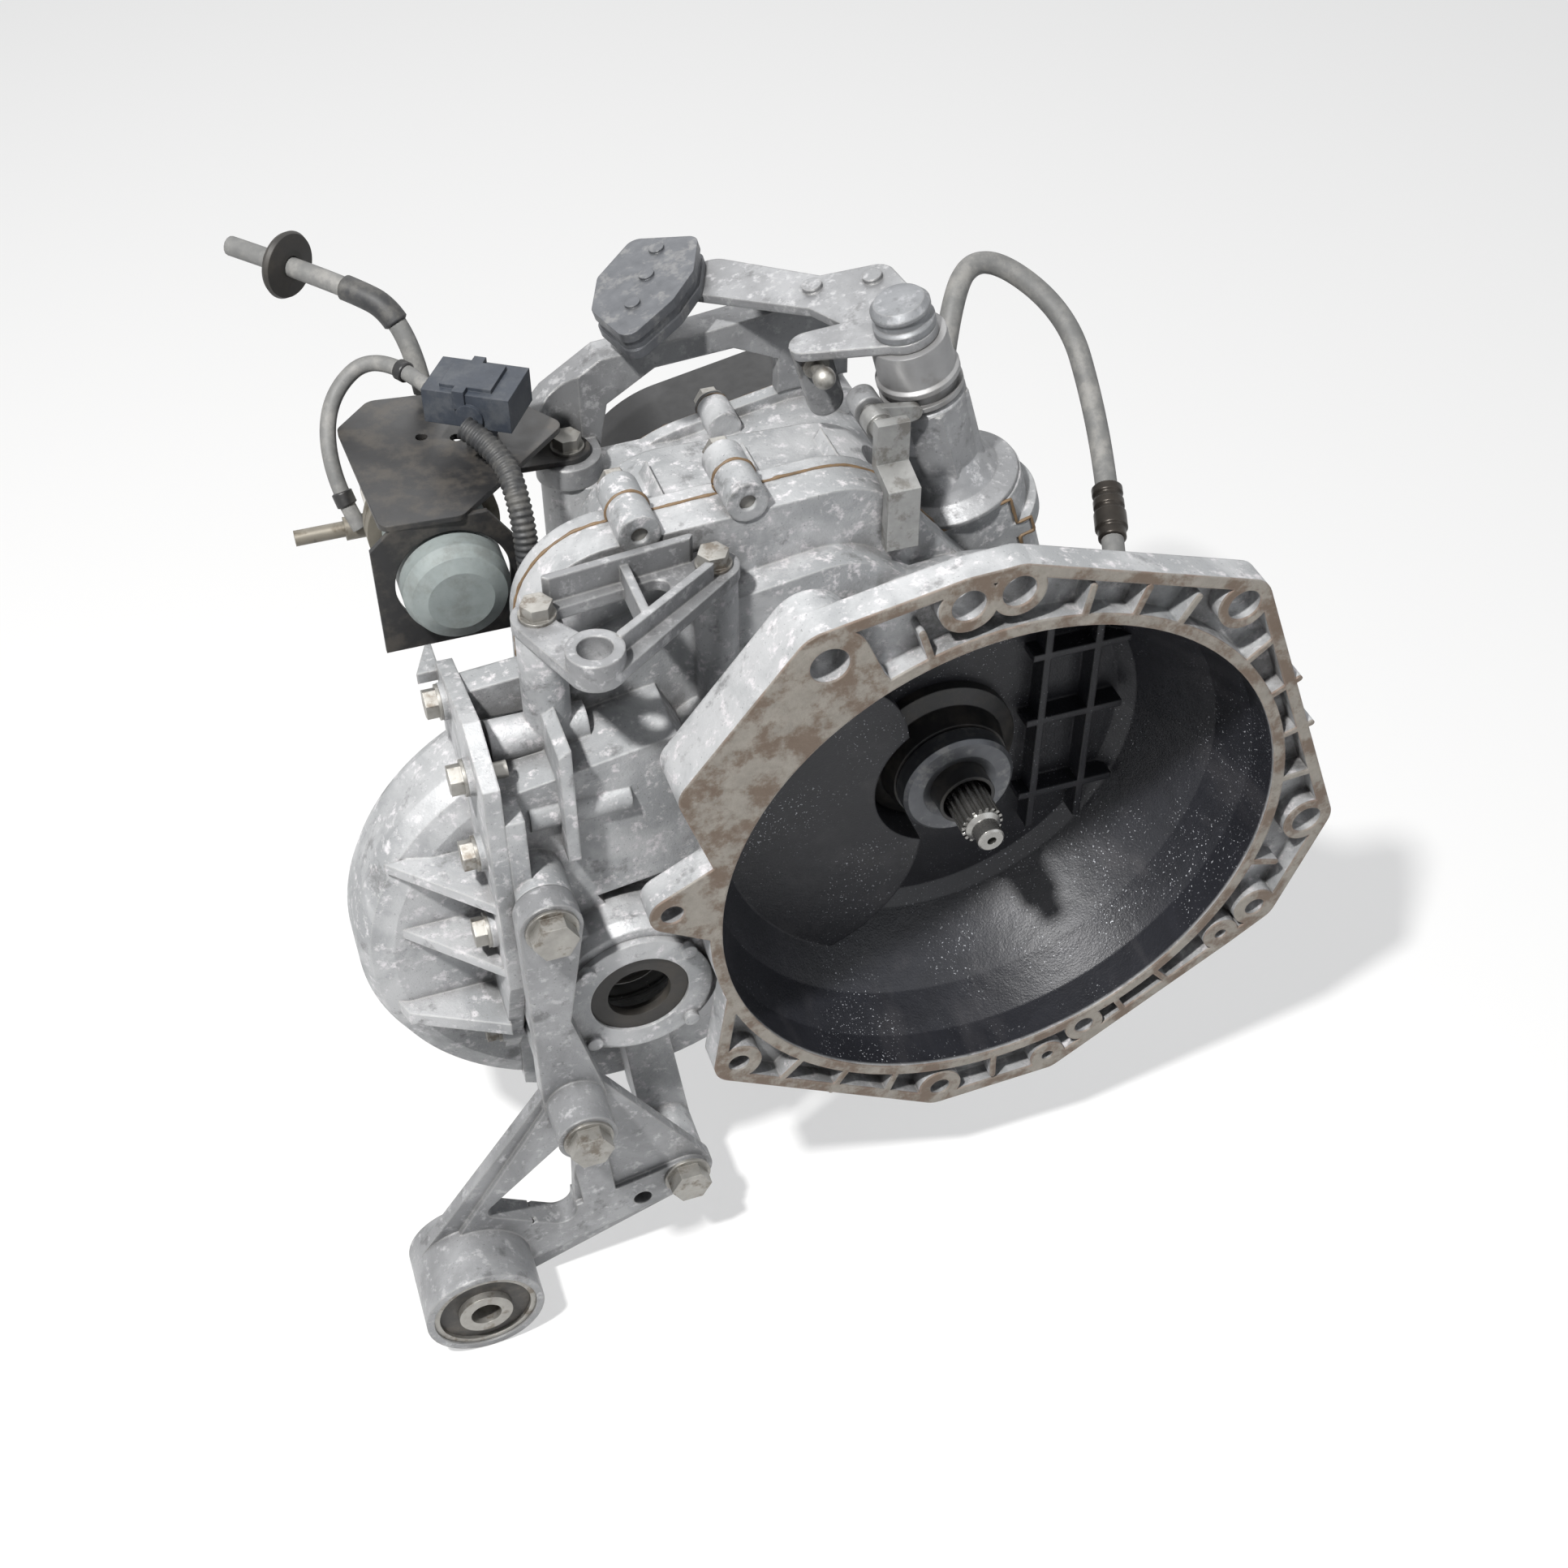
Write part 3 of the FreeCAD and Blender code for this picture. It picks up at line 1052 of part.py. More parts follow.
def make_bevels():
    for label, angle in (("side_gear_front", 0), ("side_gear_rear", 180)):
        shape_node(label, bevel(SIDE_TEETH, SPIDER_TEETH, 0.0, 11), CROSSING, (0, 0, 1), angle)
    for label, angle in (("spider_gear_upper", -90), ("spider_gear_lower", 90)):
        solid = bevel(SPIDER_TEETH, SIDE_TEETH, 0.5, 7 + d.run_clearance.value)
        shape_node(label, solid, CROSSING, (1, 0, 0), angle)


make_differential()
make_bevels()


def make_bearings():
    """Ring bearings of both shafts and of the differential, as separate rings."""
    rings = []
    outer = d.bearing_outer
    inner = outer / 2 + d.run_clearance
    wide = d.bearing_width
    for name, centre in (("input_front", INPUT), ("input_rear", INPUT), ("output_front", OUTPUT),
                         ("output_rear", OUTPUT)):
        bore = inner if name.endswith("front") else (
            (d.input_core if centre is INPUT else d.shaft_radius) + d.run_clearance)
        start = BEARING_FRONT[name]
        rings.append(spun(tube_profile(bore, outer, start, start + wide), centre))
    start = FINAL_CENTRE - CAGE_HALF - FINAL_BEARING_WIDTH - 2
    for front in (start, FINAL_CENTRE + CAGE_HALF + 2):
        rings.append(spun(tube_profile(d.final_hub + d.run_clearance, d.final_bearing_outer, front,
                                       front + FINAL_BEARING_WIDTH), FINAL))
    return shape_node("shaft_bearings", Part.makeCompound(rings))


make_bearings()


def make_adjuster():
    """The threaded ring that sets the differential's bearings, with its four lugs."""
    body = turned("bearing_adjuster", FINAL, [
        (25, 20), (37, 20), (37, 23.9), (33.9, 23.9), (33.9, 43), (30, 43), (30, 32), (25, 32)])
    pad(body, [("circle",) + polar(45 * i, 35.5) + (4,) for i in range(1, 8, 2)], 17, 21)
    return body


make_adjuster()
turned("output_seal_front", FINAL, [(16, 21.5), (24.9, 21.5), (24.9, 31.5), (20, 31.5), (16, 26)])
rear_seal = FINAL_CENTRE + CAGE_HALF + 2 + FINAL_BEARING_WIDTH
turned("output_seal_rear", FINAL, [(16, rear_seal + 3), (20, rear_seal + 1), (26, rear_seal + 1),
                                   (26, rear_seal + 12), (16, rear_seal + 12)])


# ---------------------------------------------------------------- clutch release
turned("slave_cylinder", INPUT, [(13, 48), (15, 48), (15, 84), (26.1, 84), (26.1, 70), (31, 70), (34, 82),
                                 (42, 86), (42, d.bell_floor), (13, d.bell_floor)])
turned("release_bearing", INPUT, [(15 + d.run_clearance, 60), (20, 58), (28, 58), (30, 60), (30, 69),
                                  (26, 69), (26, 82), (15 + d.run_clearance, 82)])


# ---------------------------------------------------------------- selector tower
def on_tower(solid):
    """The same solid, moved from the tower's own axes into the common frame."""
    solid = solid.copy()
    turn = Placement(Vector(d.tower_x.value, d.tower_y.value, d.tower_z.value),
                     Rotation(Vector(0, 1, 0), -d.tower_tilt.value))
    solid.Placement = turn.multiply(solid.Placement)
    return solid


PIVOT_ACROSS, PIVOT_ALONG = -30.4, 93.0
PIN_ACROSS, PIN_ALONG = -12.0, 88.0
PLATE_FRONT = 114
HEX_HALF = 19
LUG_FRONT, LUG_BACK = -14, -2


def make_tower():
    """The cast tower: a domed foot, a hexagon, a neck and the select lever's lug."""
    body = new_body("selector_tower", TOWER_BASE, (0, 1, 0), -d.tower_tilt)
    revolve(body, [(0, 12), (SPIGOT, 12), (SPIGOT, TOWER_SEAT), (36, TOWER_SEAT), (36, 24.5), (32, 26.5),
                   (27, 29), (24, 34), (22, 38), (20, 42), (20.5, 77), (20.5, 79), (17.6, 82), (17, 82),
                   (17, d.tower_height), (0, d.tower_height)], along="Z")
    corner = HEX_HALF / math.cos(math.radians(30))
    pad(body, [[polar(60 * i + 30, corner) for i in range(6)]], 34, 78, "XY_Plane")
    elbow = (-27, 71, 6)
    pad(body, [("belt", [elbow, (-12, 62, 7)])], LUG_FRONT, LUG_BACK)
    pad(body, [("belt", [(PIVOT_ACROSS, PIVOT_ALONG, 7.5), elbow])], LUG_FRONT, LUG_BACK)
    pocket(body, [("circle", PIVOT_ACROSS, PIVOT_ALONG, 4 + d.run_clearance)], LUG_FRONT - 1, LUG_BACK + 1)
    bore = d.selector_radius + d.run_clearance
    revolve(body, [(0, 10), (16, 10), (16, 16), (bore, 22), (bore, 120), (0, 120)], cut=True, along="Z")
    return body


def make_selector_shaft():
    """The selector shaft with the finger that moves one gate at a time."""
    body = new_body("selector_shaft", TOWER_BASE, (0, 1, 0), -d.tower_tilt)
    revolve(body, [(0, -30), (6, -30), (d.selector_radius, -29), (d.selector_radius, PLATE_FRONT),
                   (0, PLATE_FRONT)], along="Z")
    low = GATE_LEVEL["12"] - 2
    pad(body, [("belt", [(0, 0, 9), (4.5 - FINGER_REACH, 0, 1.4)])], low, low + 4, "XY_Plane")
    pad(body, [("circle", -FINGER_REACH, 0, 2.6)], low, low + 4, "XY_Plane")
    pad(body, [("belt", [(5 - FINGER_REACH, 0, 1.4), (-FINGER_REACH, 0, 1.4)])], low, low + 4, "XY_Plane")
    return body


def make_shift_lever():
    """The shift lever's plate with its turned-down tab."""
    low, high = PLATE_FRONT, PLATE_FRONT + d.lever_thickness.value
    plates = [
        block(("belt", [(0, 0, 15), (1, 45, 11), (-26, 56, 11)]), low, high, "XY_Plane"),
        block(("belt", [(-26, 54, 12), (-66, 104, 14)]), low, high, "XY_Plane"),
        block(("belt", [(0, 0, 14), (-44, 20, 8)]), low, high, "XY_Plane"),
        block(("belt", [(-43, 85, 9), (-43, PLATE_FRONT - 5, 9)]), 18, 22),
        block([(-52, 100), (-34, 100), (-34, high), (-52, high)], 18, 22),
    ]
    solid = joined(plates)
    for x, y in ((1, 45), (-26, 58)):
        solid = solid.fuse(Part.makeCylinder(5, 2.4, Vector(x, y, high)))
    return shape_node("shift_lever", solid.removeSplitter(), TOWER_BASE, (0, 1, 0), -d.tower_tilt)


WEIGHT_OUTLINE = [(-118, 64), (-93, 74), (-73, 93), (-65, 119), (-91, 138), (-116, 121), (-127, 93)]


def make_counterweight():
    """Three riveted steel plates at the end of the shift lever."""
    centre = Vector(-97, 100, 0)
    bottom = PLATE_FRONT + d.lever_thickness.value
    thick = d.weight_plate.value
    layers = []
    for layer, inset in enumerate((0.0, 1.2, 0.0)):
        circles = []
        for x, y in WEIGHT_OUTLINE:
            reach = Vector(x, y, 0) - centre
            corner = centre + reach * (1 - (7 + inset) / reach.Length)
            circles.append((corner.x, corner.y, 7))
        layers.append(block(("belt", circles), bottom + layer * thick, bottom + (layer + 1) * thick,
                            "XY_Plane"))
    rivets = [Part.makeCylinder(4, 1.2, Vector(x, y, bottom + 3 * thick))
              for x, y in ((-108, 86), (-95, 104), (-84, 122))]
    return shape_node("counterweight_plates", joined(layers + rivets), TOWER_BASE, (0, 1, 0), -d.tower_tilt)


def make_tower_cap():
    body = new_body("tower_cap", TOWER_BASE, (0, 1, 0), -d.tower_tilt)
    low = PLATE_FRONT + d.lever_thickness
    revolve(body, [(0, low), (15, low), (15, low + 4), (13.4, low + 5), (13.4, low + 9), (14.4, low + 10),
                   (14.4, low + 12), (12, low + 15), (0, low + 15)], along="Z")
    return body


def make_ball_stud():
    """The riveted ball stud that the gear cable snaps onto."""
    x, z = -43, 107
    solid = joined([y_cylinder(6.5, 15.5, 18, x, z), y_cylinder(3.4, 5, 16, x, z),
                    Part.makeSphere(5.5, Vector(x, 5, z))])
    return shape_node("ball_stud", solid, TOWER_BASE, (0, 1, 0), -d.tower_tilt)


def make_select_yoke():
    """A grooved cup round the tower's neck that lifts the selector shaft."""
    body = new_body("select_yoke", TOWER_BASE, (0, 1, 0), -d.tower_tilt)
    inner = 17 + d.run_clearance
    groove = PIN_ALONG
    top = d.tower_height + 0.2
    revolve(body, [(inner, groove - 5.5), (20.5, groove - 5.5), (20.5, groove - 2.8), (18, groove - 2.8),
                   (18, groove + 2.8), (20.5, groove + 2.8), (20.5, groove + 5.5), (19, groove + 7),
                   (18.6, top + 1.4), (d.selector_radius + d.run_clearance, top + 1.4),
                   (d.selector_radius + d.run_clearance, top), (inner, top)], along="Z")
    return body


def make_select_lever():
    """The bell crank whose short arm lifts the yoke and whose long arm takes the cable."""
    pin = y_cylinder(4, -44, 0, PIVOT_ACROSS, PIVOT_ALONG)
    arm_front, arm_back = -23.2, -19.1
    arm = block(("belt", [(PIVOT_ACROSS, PIVOT_ALONG, 7), (PIN_ACROSS, PIN_ALONG, 4)]), arm_front, arm_back)
    tip = y_cylinder(2.3, arm_back - 1, -16.4, PIN_ACROSS, PIN_ALONG)
    collar = y_cylinder(7, -44, arm_front + 1, PIVOT_ACROSS, PIVOT_ALONG).cut(
        y_cylinder(8, -37, -28, PIVOT_ACROSS, PIVOT_ALONG))
    neck = y_cylinder(5.4, -40, -25, PIVOT_ACROSS, PIVOT_ALONG)
    pivot = tower_point(PIVOT_ALONG, PIVOT_ACROSS)
    hanger = block([(105, 193), (111, 193), (111, 168), (96, 163), (96, 134), (89, 134), (89, 167),
                    (105, 172)], pivot.x - 8, pivot.x + 8, "YZ_Plane")
    solid = joined([on_tower(piece) for piece in (pin, arm, tip, collar, neck)] + [hanger])
    return shape_node("select_lever", solid)


make_tower()
make_selector_shaft()
make_shift_lever()
make_counterweight()
make_tower_cap()
make_ball_stud()
make_select_yoke()
make_select_lever()


# ---------------------------------------------------------------- brackets
def make_support_arm():
    """The cast arch over the gear case, on a bolted foot at its left-hand end."""
    x, y = ARM_FOOT
    band = [(-176, ARM_SEAT), (-176, 128), (-156, 150), (-128, 168), (-80, 172), (-30, 178), (-2, 172),
            (4, 160), (4, 90), (-36, 90), (-34, 150), (-58, 161), (-100, 158), (-126, 142), (-132, ARM_SEAT)]
    web = block(band, 246, 253)
    rim = block(band, 241, 259).cut(block([(-169, 100), (-169, 125), (-152, 144), (-126, 161), (-80, 165),
                                           (-30, 171), (-6, 166), (-2, 158), (-2, 60), (-42, 60),
                                           (-40, 155), (-60, 167), (-102, 164), (-131, 146), (-139, 100)],
                                          200, 270))
    foot = block(("belt", [(x, y, 17), (x + 4, y + 14, 13)]), ARM_SEAT, ARM_SEAT + 12, "XY_Plane")
    ear = block(("belt", [(-34, 184, 9), (-30, 172, 9)]), 246, 253)
    solid = joined([web, rim, foot, ear])
    solid = solid.cut([block(grown(REAR_CASE, 6.6), 100, 254), y_cylinder(4, 200, 270, -34, 184),
                       Part.makeCylinder(d.bolt_radius.value + 0.3, 60, Vector(x, y, ARM_SEAT - 1)),
                       Part.makeCylinder(13.5, 60, Vector(x, y, ARM_SEAT + 12)),
                       Part.makeBox(80, 40, 100, Vector(-60, d.case_end.value - 0.4, 50)),
                       Part.makeBox(60, 40, 100, Vector(-20, 225, 34))])
    solid = solid.cut(block([(-200, 60), (-110, 60), (-110, ARM_SEAT), (-200, ARM_SEAT)], 200, 270))
    return shape_node("support_arm", solid.removeSplitter())


def make_cable_bracket():
    """The cast cable bracket on two posts, with a ring in front and stiffening webs."""
    low, high = CABLE_SEAT, CABLE_SEAT + 6
    ring = (-187, 35, 13)
    plate = block(("belt", [(-203, 74, 12), ring, (-119, 84, 12)]), low, high, "XY_Plane")
    window = block(("belt", [(-190, 70, 6), (-178, 52, 6), (-148, 76, 6)]), low - 1, high + 1, "XY_Plane")
    webs = [block(("belt", [(-196, 83, 2), (-128, 91, 2)]), low, high + 13, "XY_Plane"),
            block(("belt", [(-174, 40, 2), (-124, 74, 2)]), low, high + 9, "XY_Plane"),
            block(("belt", [(-160, 88, 2), (-160, 50, 2)]), low, high + 9, "XY_Plane"),
            Part.makeCylinder(13, 14, Vector(ring[0], ring[1], low))]
    holes = [Part.makeCylinder(8, 30, Vector(ring[0], ring[1], low - 1))]
    holes += [Part.makeCylinder(d.bolt_radius.value + 0.3, 60, Vector(x, y, low - 1))
              for x, y, _ in CABLE_FEET]
    holes += [Part.makeCylinder(10.5, 60, Vector(x, y, high)) for x, y, _ in CABLE_FEET]
    solid = joined([plate.cut(window)] + webs).cut(holes)
    return shape_node("cable_bracket", solid.removeSplitter())


BUSH = (-286, -215)


def make_mount_bracket():
    """The three-legged engine mount bracket with the seat of its rubber bush."""
    back, front = d.mount_plane.value, (d.mount_plane - d.mount_plate).value
    top, knee, heel = [boss[:2] for boss in MOUNT_BOSSES]
    outline = [BUSH + (31,), heel + (15,), knee + (16,)]
    strap = (-229, -40, 9)
    legs = [block(("belt", [top + (15,), strap]), front, back),
            block(("belt", [strap, knee + (16,)]), front, back),
            block(("belt", outline), front + 3, back - 4),
            block(("belt", [knee + (12,), BUSH + (20,)]), front, back),
            block(("belt", [BUSH + (16,), heel + (12,)]), front, back),
            block(("belt", [knee + (9,), (-214, -196, 9)]), front, back),
            y_cylinder(15, -18, back, *knee),
            y_cylinder(31, -d.bush_length.value / 2, d.bush_length.value / 2, *BUSH)]
    window = block(("belt", [(-268, -172, 6), (-236, -190, 8), (-230, -136, 5)]), front - 1, back + 1)
    through = d.mount_bolt_radius.value + 0.4
    holes = [window, y_cylinder(d.bush_outer.value, -40, 40, *BUSH),
             y_cylinder(5, front - 1, back + 1, -192, -196)]
    holes += [y_cylinder(through, -30, back + 1, x, z) for x, z, _ in MOUNT_BOSSES]
    return shape_node("mount_bracket", joined(legs).cut(holes).removeSplitter())


make_support_arm()
make_cable_bracket()
make_mount_bracket()
half_bush = d.bush_length / 2
turned("mount_bush", BUSH, tube_profile(14, 24, 3 - half_bush, half_bush - 3))


def make_bush_sleeves():
    """The steel rings inside and outside the rubber."""
    rings = [spun(tube_profile(d.bush_bore, 14, -half_bush - 1, half_bush + 1), BUSH),
             spun(tube_profile(24, d.bush_outer, 1 - half_bush, half_bush - 1), BUSH)]
    return shape_node("mount_bush_sleeves", Part.makeCompound(rings))


make_bush_sleeves()


# ---------------------------------------------------------------- pump and its bracket
PUMP = (-225, 112)
PUMP_PLATE = 146


def make_pump_bracket():
    """A bent sheet bracket: a top plate, a windowed front and a leg under the arm's bolt."""
    outline = [(-250, 170, 6), (-219, 168, 6), (-162, 222, 7), (-186, 258, 8), (-238, 264, 8), (-254, 250, 6)]
    top = block(("belt", outline), PUMP_PLATE, PUMP_PLATE + 3, "XY_Plane")
    face = block([(-262, 76), (-191, 76), (-191, 126), (-205, PUMP_PLATE + 1), (-250, PUMP_PLATE + 1),
                  (-262, 136)], 164, 167)
    face = face.cut(y_cylinder(28, 150, 180, *PUMP))
    x, y = ARM_FOOT
    leg = block([(-181, ARM_SEAT + 12), (-178, ARM_SEAT + 12), (-178, PUMP_PLATE + 1), (-181, PUMP_PLATE + 1)],
                222, 236)
    foot = block(("belt", [(-180, y - 9, 1), (x, y, 11.5), (-180, y + 1, 1)]), ARM_SEAT + 12, ARM_SEAT + 15,
                 "XY_Plane")
    holes = [Part.makeCylinder(3, 20, Vector(hx, hy, PUMP_PLATE - 5)) for hx, hy in ((-222, 232), (-206, 226))]
    holes.append(Part.makeCylinder(d.bolt_radius.value + 0.3, 20, Vector(x, y, ARM_SEAT + 8)))
    return shape_node("pump_bracket", joined([top, face, leg, foot]).cut(holes).removeSplitter())


def make_pump():
    body = turned("pump_body", PUMP, [(0, 208), (33, 208), (33, 214), (30.5, 215), (33, 216), (33, 221),
                                      (29, 223), (29, 250), (27, 256), (20, 260), (0, 261)])
    pad(body, [("circle", 238, -12, 4)], -66, -26, "YZ_Plane")
    pad(body, [("circle", 238, -12, 6)], -41, -26, "YZ_Plane")
    return body


make_pump_bracket()
make_pump()
turned("pump_canister", PUMP, [(0, 146), (16, 146), (23, 149), (26, 156), (26, 207.7), (0, 207.7)])


def make_connector():
    """A latched plug housing on a stay above the pump's plate."""
    solid = joined([Part.makeBox(44, 30, 18, Vector(-22, -15, 0)),
                    Part.makeBox(26, 22, 3, Vector(-14, -11, 17)),
                    Part.makeBox(6, 32, 10, Vector(-6, -16, 10)),
                    y_cylinder(7, -16.5, -10, 1.4, 6), Part.makeBox(12, 12, 16, Vector(-6, -6, -15.5))])
    return shape_node("connector", solid, (-194, 221, 165), (0, 0, 1), -33)


make_connector()
screw_node("bracket_bolts",
           [(ARM_FOOT[0], ARM_FOOT[1], ARM_SEAT + 15)] + [(x, y, CABLE_SEAT + 6) for x, y, _ in CABLE_FEET],
           (0, 0, 1), d.bolt_radius, d.bolt_head, 26)
mount_heads = [(MOUNT_BOSSES[0], d.mount_plane - d.mount_plate), (MOUNT_BOSSES[1], Size(-18)),
               (MOUNT_BOSSES[2], d.mount_plane - d.mount_plate)]
shape_node("mount_bolts", Part.makeCompound(
    [screw((boss[0], front, boss[1]), (0, -1, 0), d.mount_bolt_radius, d.mount_bolt_head,
           d.mount_plane.value + 22 - front.value, 8) for boss, front in mount_heads]))


# ---------------------------------------------------------------- hoses and the loom
def bend_radius(before, corner, after):
    """The arc that fits a corner of a route, from the shorter run beside it."""
    run = min((corner - before).Length, (after - corner).Length)
    half_turn = (corner - before).getAngle(after - corner) / 2
    return 0.45 * run / math.tan(half_turn), half_turn


def cord(label, radius, route):
    """A round hose along straight runs joined by arcs."""
    points = [Vector(*point) for point in route]
    radius = as_size(radius).value
    edges = []
    start = points[0]
    smallest = 1e9
    for before, corner, after in zip(points, points[1:], points[2:]):
        bend, half_turn = bend_radius(before, corner, after)
        smallest = min(smallest, bend)
        reach = bend * math.tan(half_turn)
        enter = corner + (before - corner).normalize() * reach
        leave = corner + (after - corner).normalize() * reach
        inward = ((before - corner).normalize() + (after - corner).normalize()).normalize()
        middle = corner + inward * (bend / math.cos(half_turn) - bend)
        edges.append(Part.LineSegment(start, enter).toShape())
        edges.append(Part.Arc(enter, middle, leave).toShape())
        start = leave
    edges.append(Part.LineSegment(start, points[-1]).toShape())
    path = Part.Wire(edges)
    direction = (points[1] - points[0]).normalize()
    ring = Part.Wire(Part.makeCircle(radius, points[0], direction))
    solid = outward(path.makePipeShell([ring], True, False))
    expected = math.pi * radius ** 2 * path.Length
    print("%s: length %.0f, smallest bend %.1f, volume %.3f of section times length"
          % (label, path.Length, smallest, solid.Volume / expected))
    if abs(solid.Volume / expected - 1) > 0.02:
        raise RuntimeError(label + " is not the volume of its route")
    return shape_node(label, solid)


cord("wiring_loom", 6, [(-205, 201, 170), (-192, 186, 164), (-190, 158, 152), (-191, 147, 116),
                        (-186, 158, 72)])
cord("breather_hose", 4, [(-215, 235, 174), (-232, 272, 178), (-262, 264, 160), (-268, 240, 128),
                          (-259, 228, 106)])
cord("vacuum_pipe", 5, [(-288, 352, 202), (-243, 298, 202), (-216, 272, 192), (-214, 262, 155)])
cord("hydraulic_hose", d.hose_radius, [(44, 214, 80), (60, 246, 150), (90, 280, 172), (130, 244, 146),
                                       (132, 204, 108), (118, 150, 84), (101, 103, 70.5)])
turned("vacuum_grommet", (0, 0), [(5.2, -5), (9, -5), (10, 0), (16, 1), (17, 3), (16, 5), (8, 6), (5.2, 6)])
grommet = NODES[-1]
pipe_run = Vector(-243, 298, 202) - Vector(-288, 352, 202)
place(grommet, (-266, 325.6, 202))
grommet.Placement.Rotation = Rotation(Vector(0, 1, 0), pipe_run)


# ---------------------------------------------------------------- checks and export
def write_parts():
    """Recompute, make sure that every piece is sound and write one STEP file each."""
    doc.recompute()
    for thing in doc.Objects:
        if "Invalid" in thing.State or "Error" in thing.State:
            raise RuntimeError("%s did not recompute: %s" % (thing.Label, thing.State))
    os.makedirs("parts", exist_ok=True)
    for thing in NODES:
        if thing.Shape.isNull() or not thing.Shape.isValid() or thing.Shape.Volume <= 0:
            raise RuntimeError("%s has no valid solid" % thing.Label)
        thing.Shape.exportStep("parts/%s.step" % thing.Label)
        print("%-28s %10.0f mm3" % (thing.Label, thing.Shape.Volume))


write_parts()
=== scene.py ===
"""A manual transmission, dressed: weathered castings, hoses, a loom and studio light."""
import json
import math

import bmesh
import bpy
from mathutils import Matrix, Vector, noise


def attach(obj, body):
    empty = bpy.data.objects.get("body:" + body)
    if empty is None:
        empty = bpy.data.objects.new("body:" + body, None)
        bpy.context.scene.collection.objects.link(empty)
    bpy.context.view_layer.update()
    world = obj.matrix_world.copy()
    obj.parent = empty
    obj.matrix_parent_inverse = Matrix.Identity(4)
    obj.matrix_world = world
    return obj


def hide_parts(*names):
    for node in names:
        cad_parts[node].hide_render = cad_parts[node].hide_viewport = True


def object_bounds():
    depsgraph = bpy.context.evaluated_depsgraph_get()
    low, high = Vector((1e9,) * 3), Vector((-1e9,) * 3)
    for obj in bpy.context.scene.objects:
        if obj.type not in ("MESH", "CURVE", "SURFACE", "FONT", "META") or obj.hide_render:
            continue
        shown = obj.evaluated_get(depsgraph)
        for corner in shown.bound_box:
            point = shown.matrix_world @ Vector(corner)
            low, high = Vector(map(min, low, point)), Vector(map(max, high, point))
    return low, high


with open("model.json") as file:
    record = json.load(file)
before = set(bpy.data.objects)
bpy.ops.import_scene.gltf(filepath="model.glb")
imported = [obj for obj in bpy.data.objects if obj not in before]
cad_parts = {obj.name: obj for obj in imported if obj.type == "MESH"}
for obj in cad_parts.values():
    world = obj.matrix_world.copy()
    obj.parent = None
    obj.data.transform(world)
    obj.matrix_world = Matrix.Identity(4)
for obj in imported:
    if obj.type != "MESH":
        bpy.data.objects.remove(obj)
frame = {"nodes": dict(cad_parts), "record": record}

CAD_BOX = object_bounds()
MM = 0.001


def rgb(red, green, blue):
    """A colour from its 0 to 255 values, for a shader's socket."""
    def linear(value):
        value /= 255
        return value / 12.92 if value <= 0.04045 else ((value + 0.055) / 1.055) ** 2.4
    return (linear(red), linear(green), linear(blue), 1)


# ---------------------------------------------------------------- camera, floor and light
CAMERA_AT = Vector((-0.3280, -0.6173, 0.7094))
CAMERA_AZIMUTH = math.radians(-19.084)
CAMERA_ELEVATION = math.radians(43.5)
SENSOR_WIDTH = 36
LENS = 46.58
FLOOR_GAP = 0.0005
FLOOR_REACH = 6
FLOOR_WHITE = 0.94
FLOOR_SHARE = 0.6


def make_camera():
    data = bpy.data.cameras.new("camera")
    data.sensor_width = SENSOR_WIDTH
    data.lens = LENS
    data.clip_start = 0.02
    camera = bpy.data.objects.new("camera", data)
    bpy.context.scene.collection.objects.link(camera)
    backwards = Vector((math.sin(CAMERA_AZIMUTH) * math.cos(CAMERA_ELEVATION),
                        -math.cos(CAMERA_AZIMUTH) * math.cos(CAMERA_ELEVATION),
                        math.sin(CAMERA_ELEVATION)))
    camera.location = CAMERA_AT
    camera.rotation_mode = "QUATERNION"
    camera.rotation_quaternion = (-backwards).to_track_quat("-Z", "Y")
    bpy.context.scene.camera = camera


def area_light(name, at, towards, size, power, colour=(1, 1, 1)):
    data = bpy.data.lights.new(name, "AREA")
    data.shape = "DISK"
    data.size = size
    data.energy = power
    data.color = colour
    lamp = bpy.data.objects.new(name, data)
    bpy.context.scene.collection.objects.link(lamp)
    lamp.location = at
    lamp.rotation_mode = "QUATERNION"
    lamp.rotation_quaternion = (Vector(towards) - Vector(at)).to_track_quat("-Z", "Y")


def make_world():
    world = bpy.data.worlds.new("studio")
    bpy.context.scene.world = world
    world.use_nodes = True
    tree = world.node_tree
    tree.nodes.clear()
    path = tree.nodes.new("ShaderNodeLightPath")
    seen = path.outputs["Is Camera Ray"]
    for kind in ("Is Glossy Ray", "Is Transmission Ray"):
        either = tree.nodes.new("ShaderNodeMath")
        either.operation = "MAXIMUM"
        tree.links.new(seen, either.inputs[0])
        tree.links.new(path.outputs[kind], either.inputs[1])
        seen = either.outputs[0]
    lit = tree.nodes.new("ShaderNodeBackground")
    lit.inputs["Color"].default_value = (0.93, 0.96, 1.0, 1)
    lit.inputs["Strength"].default_value = 0.17
    shown = tree.nodes.new("ShaderNodeBackground")
    shown.inputs["Color"].default_value = (1, 1, 1, 1)
    shown.inputs["Strength"].default_value = 1.0
    mixed = tree.nodes.new("ShaderNodeMixShader")
    tree.links.new(seen, mixed.inputs[0])
    tree.links.new(lit.outputs[0], mixed.inputs[1])
    tree.links.new(shown.outputs[0], mixed.inputs[2])
    out = tree.nodes.new("ShaderNodeOutputWorld")
    tree.links.new(mixed.outputs[0], out.inputs["Surface"])


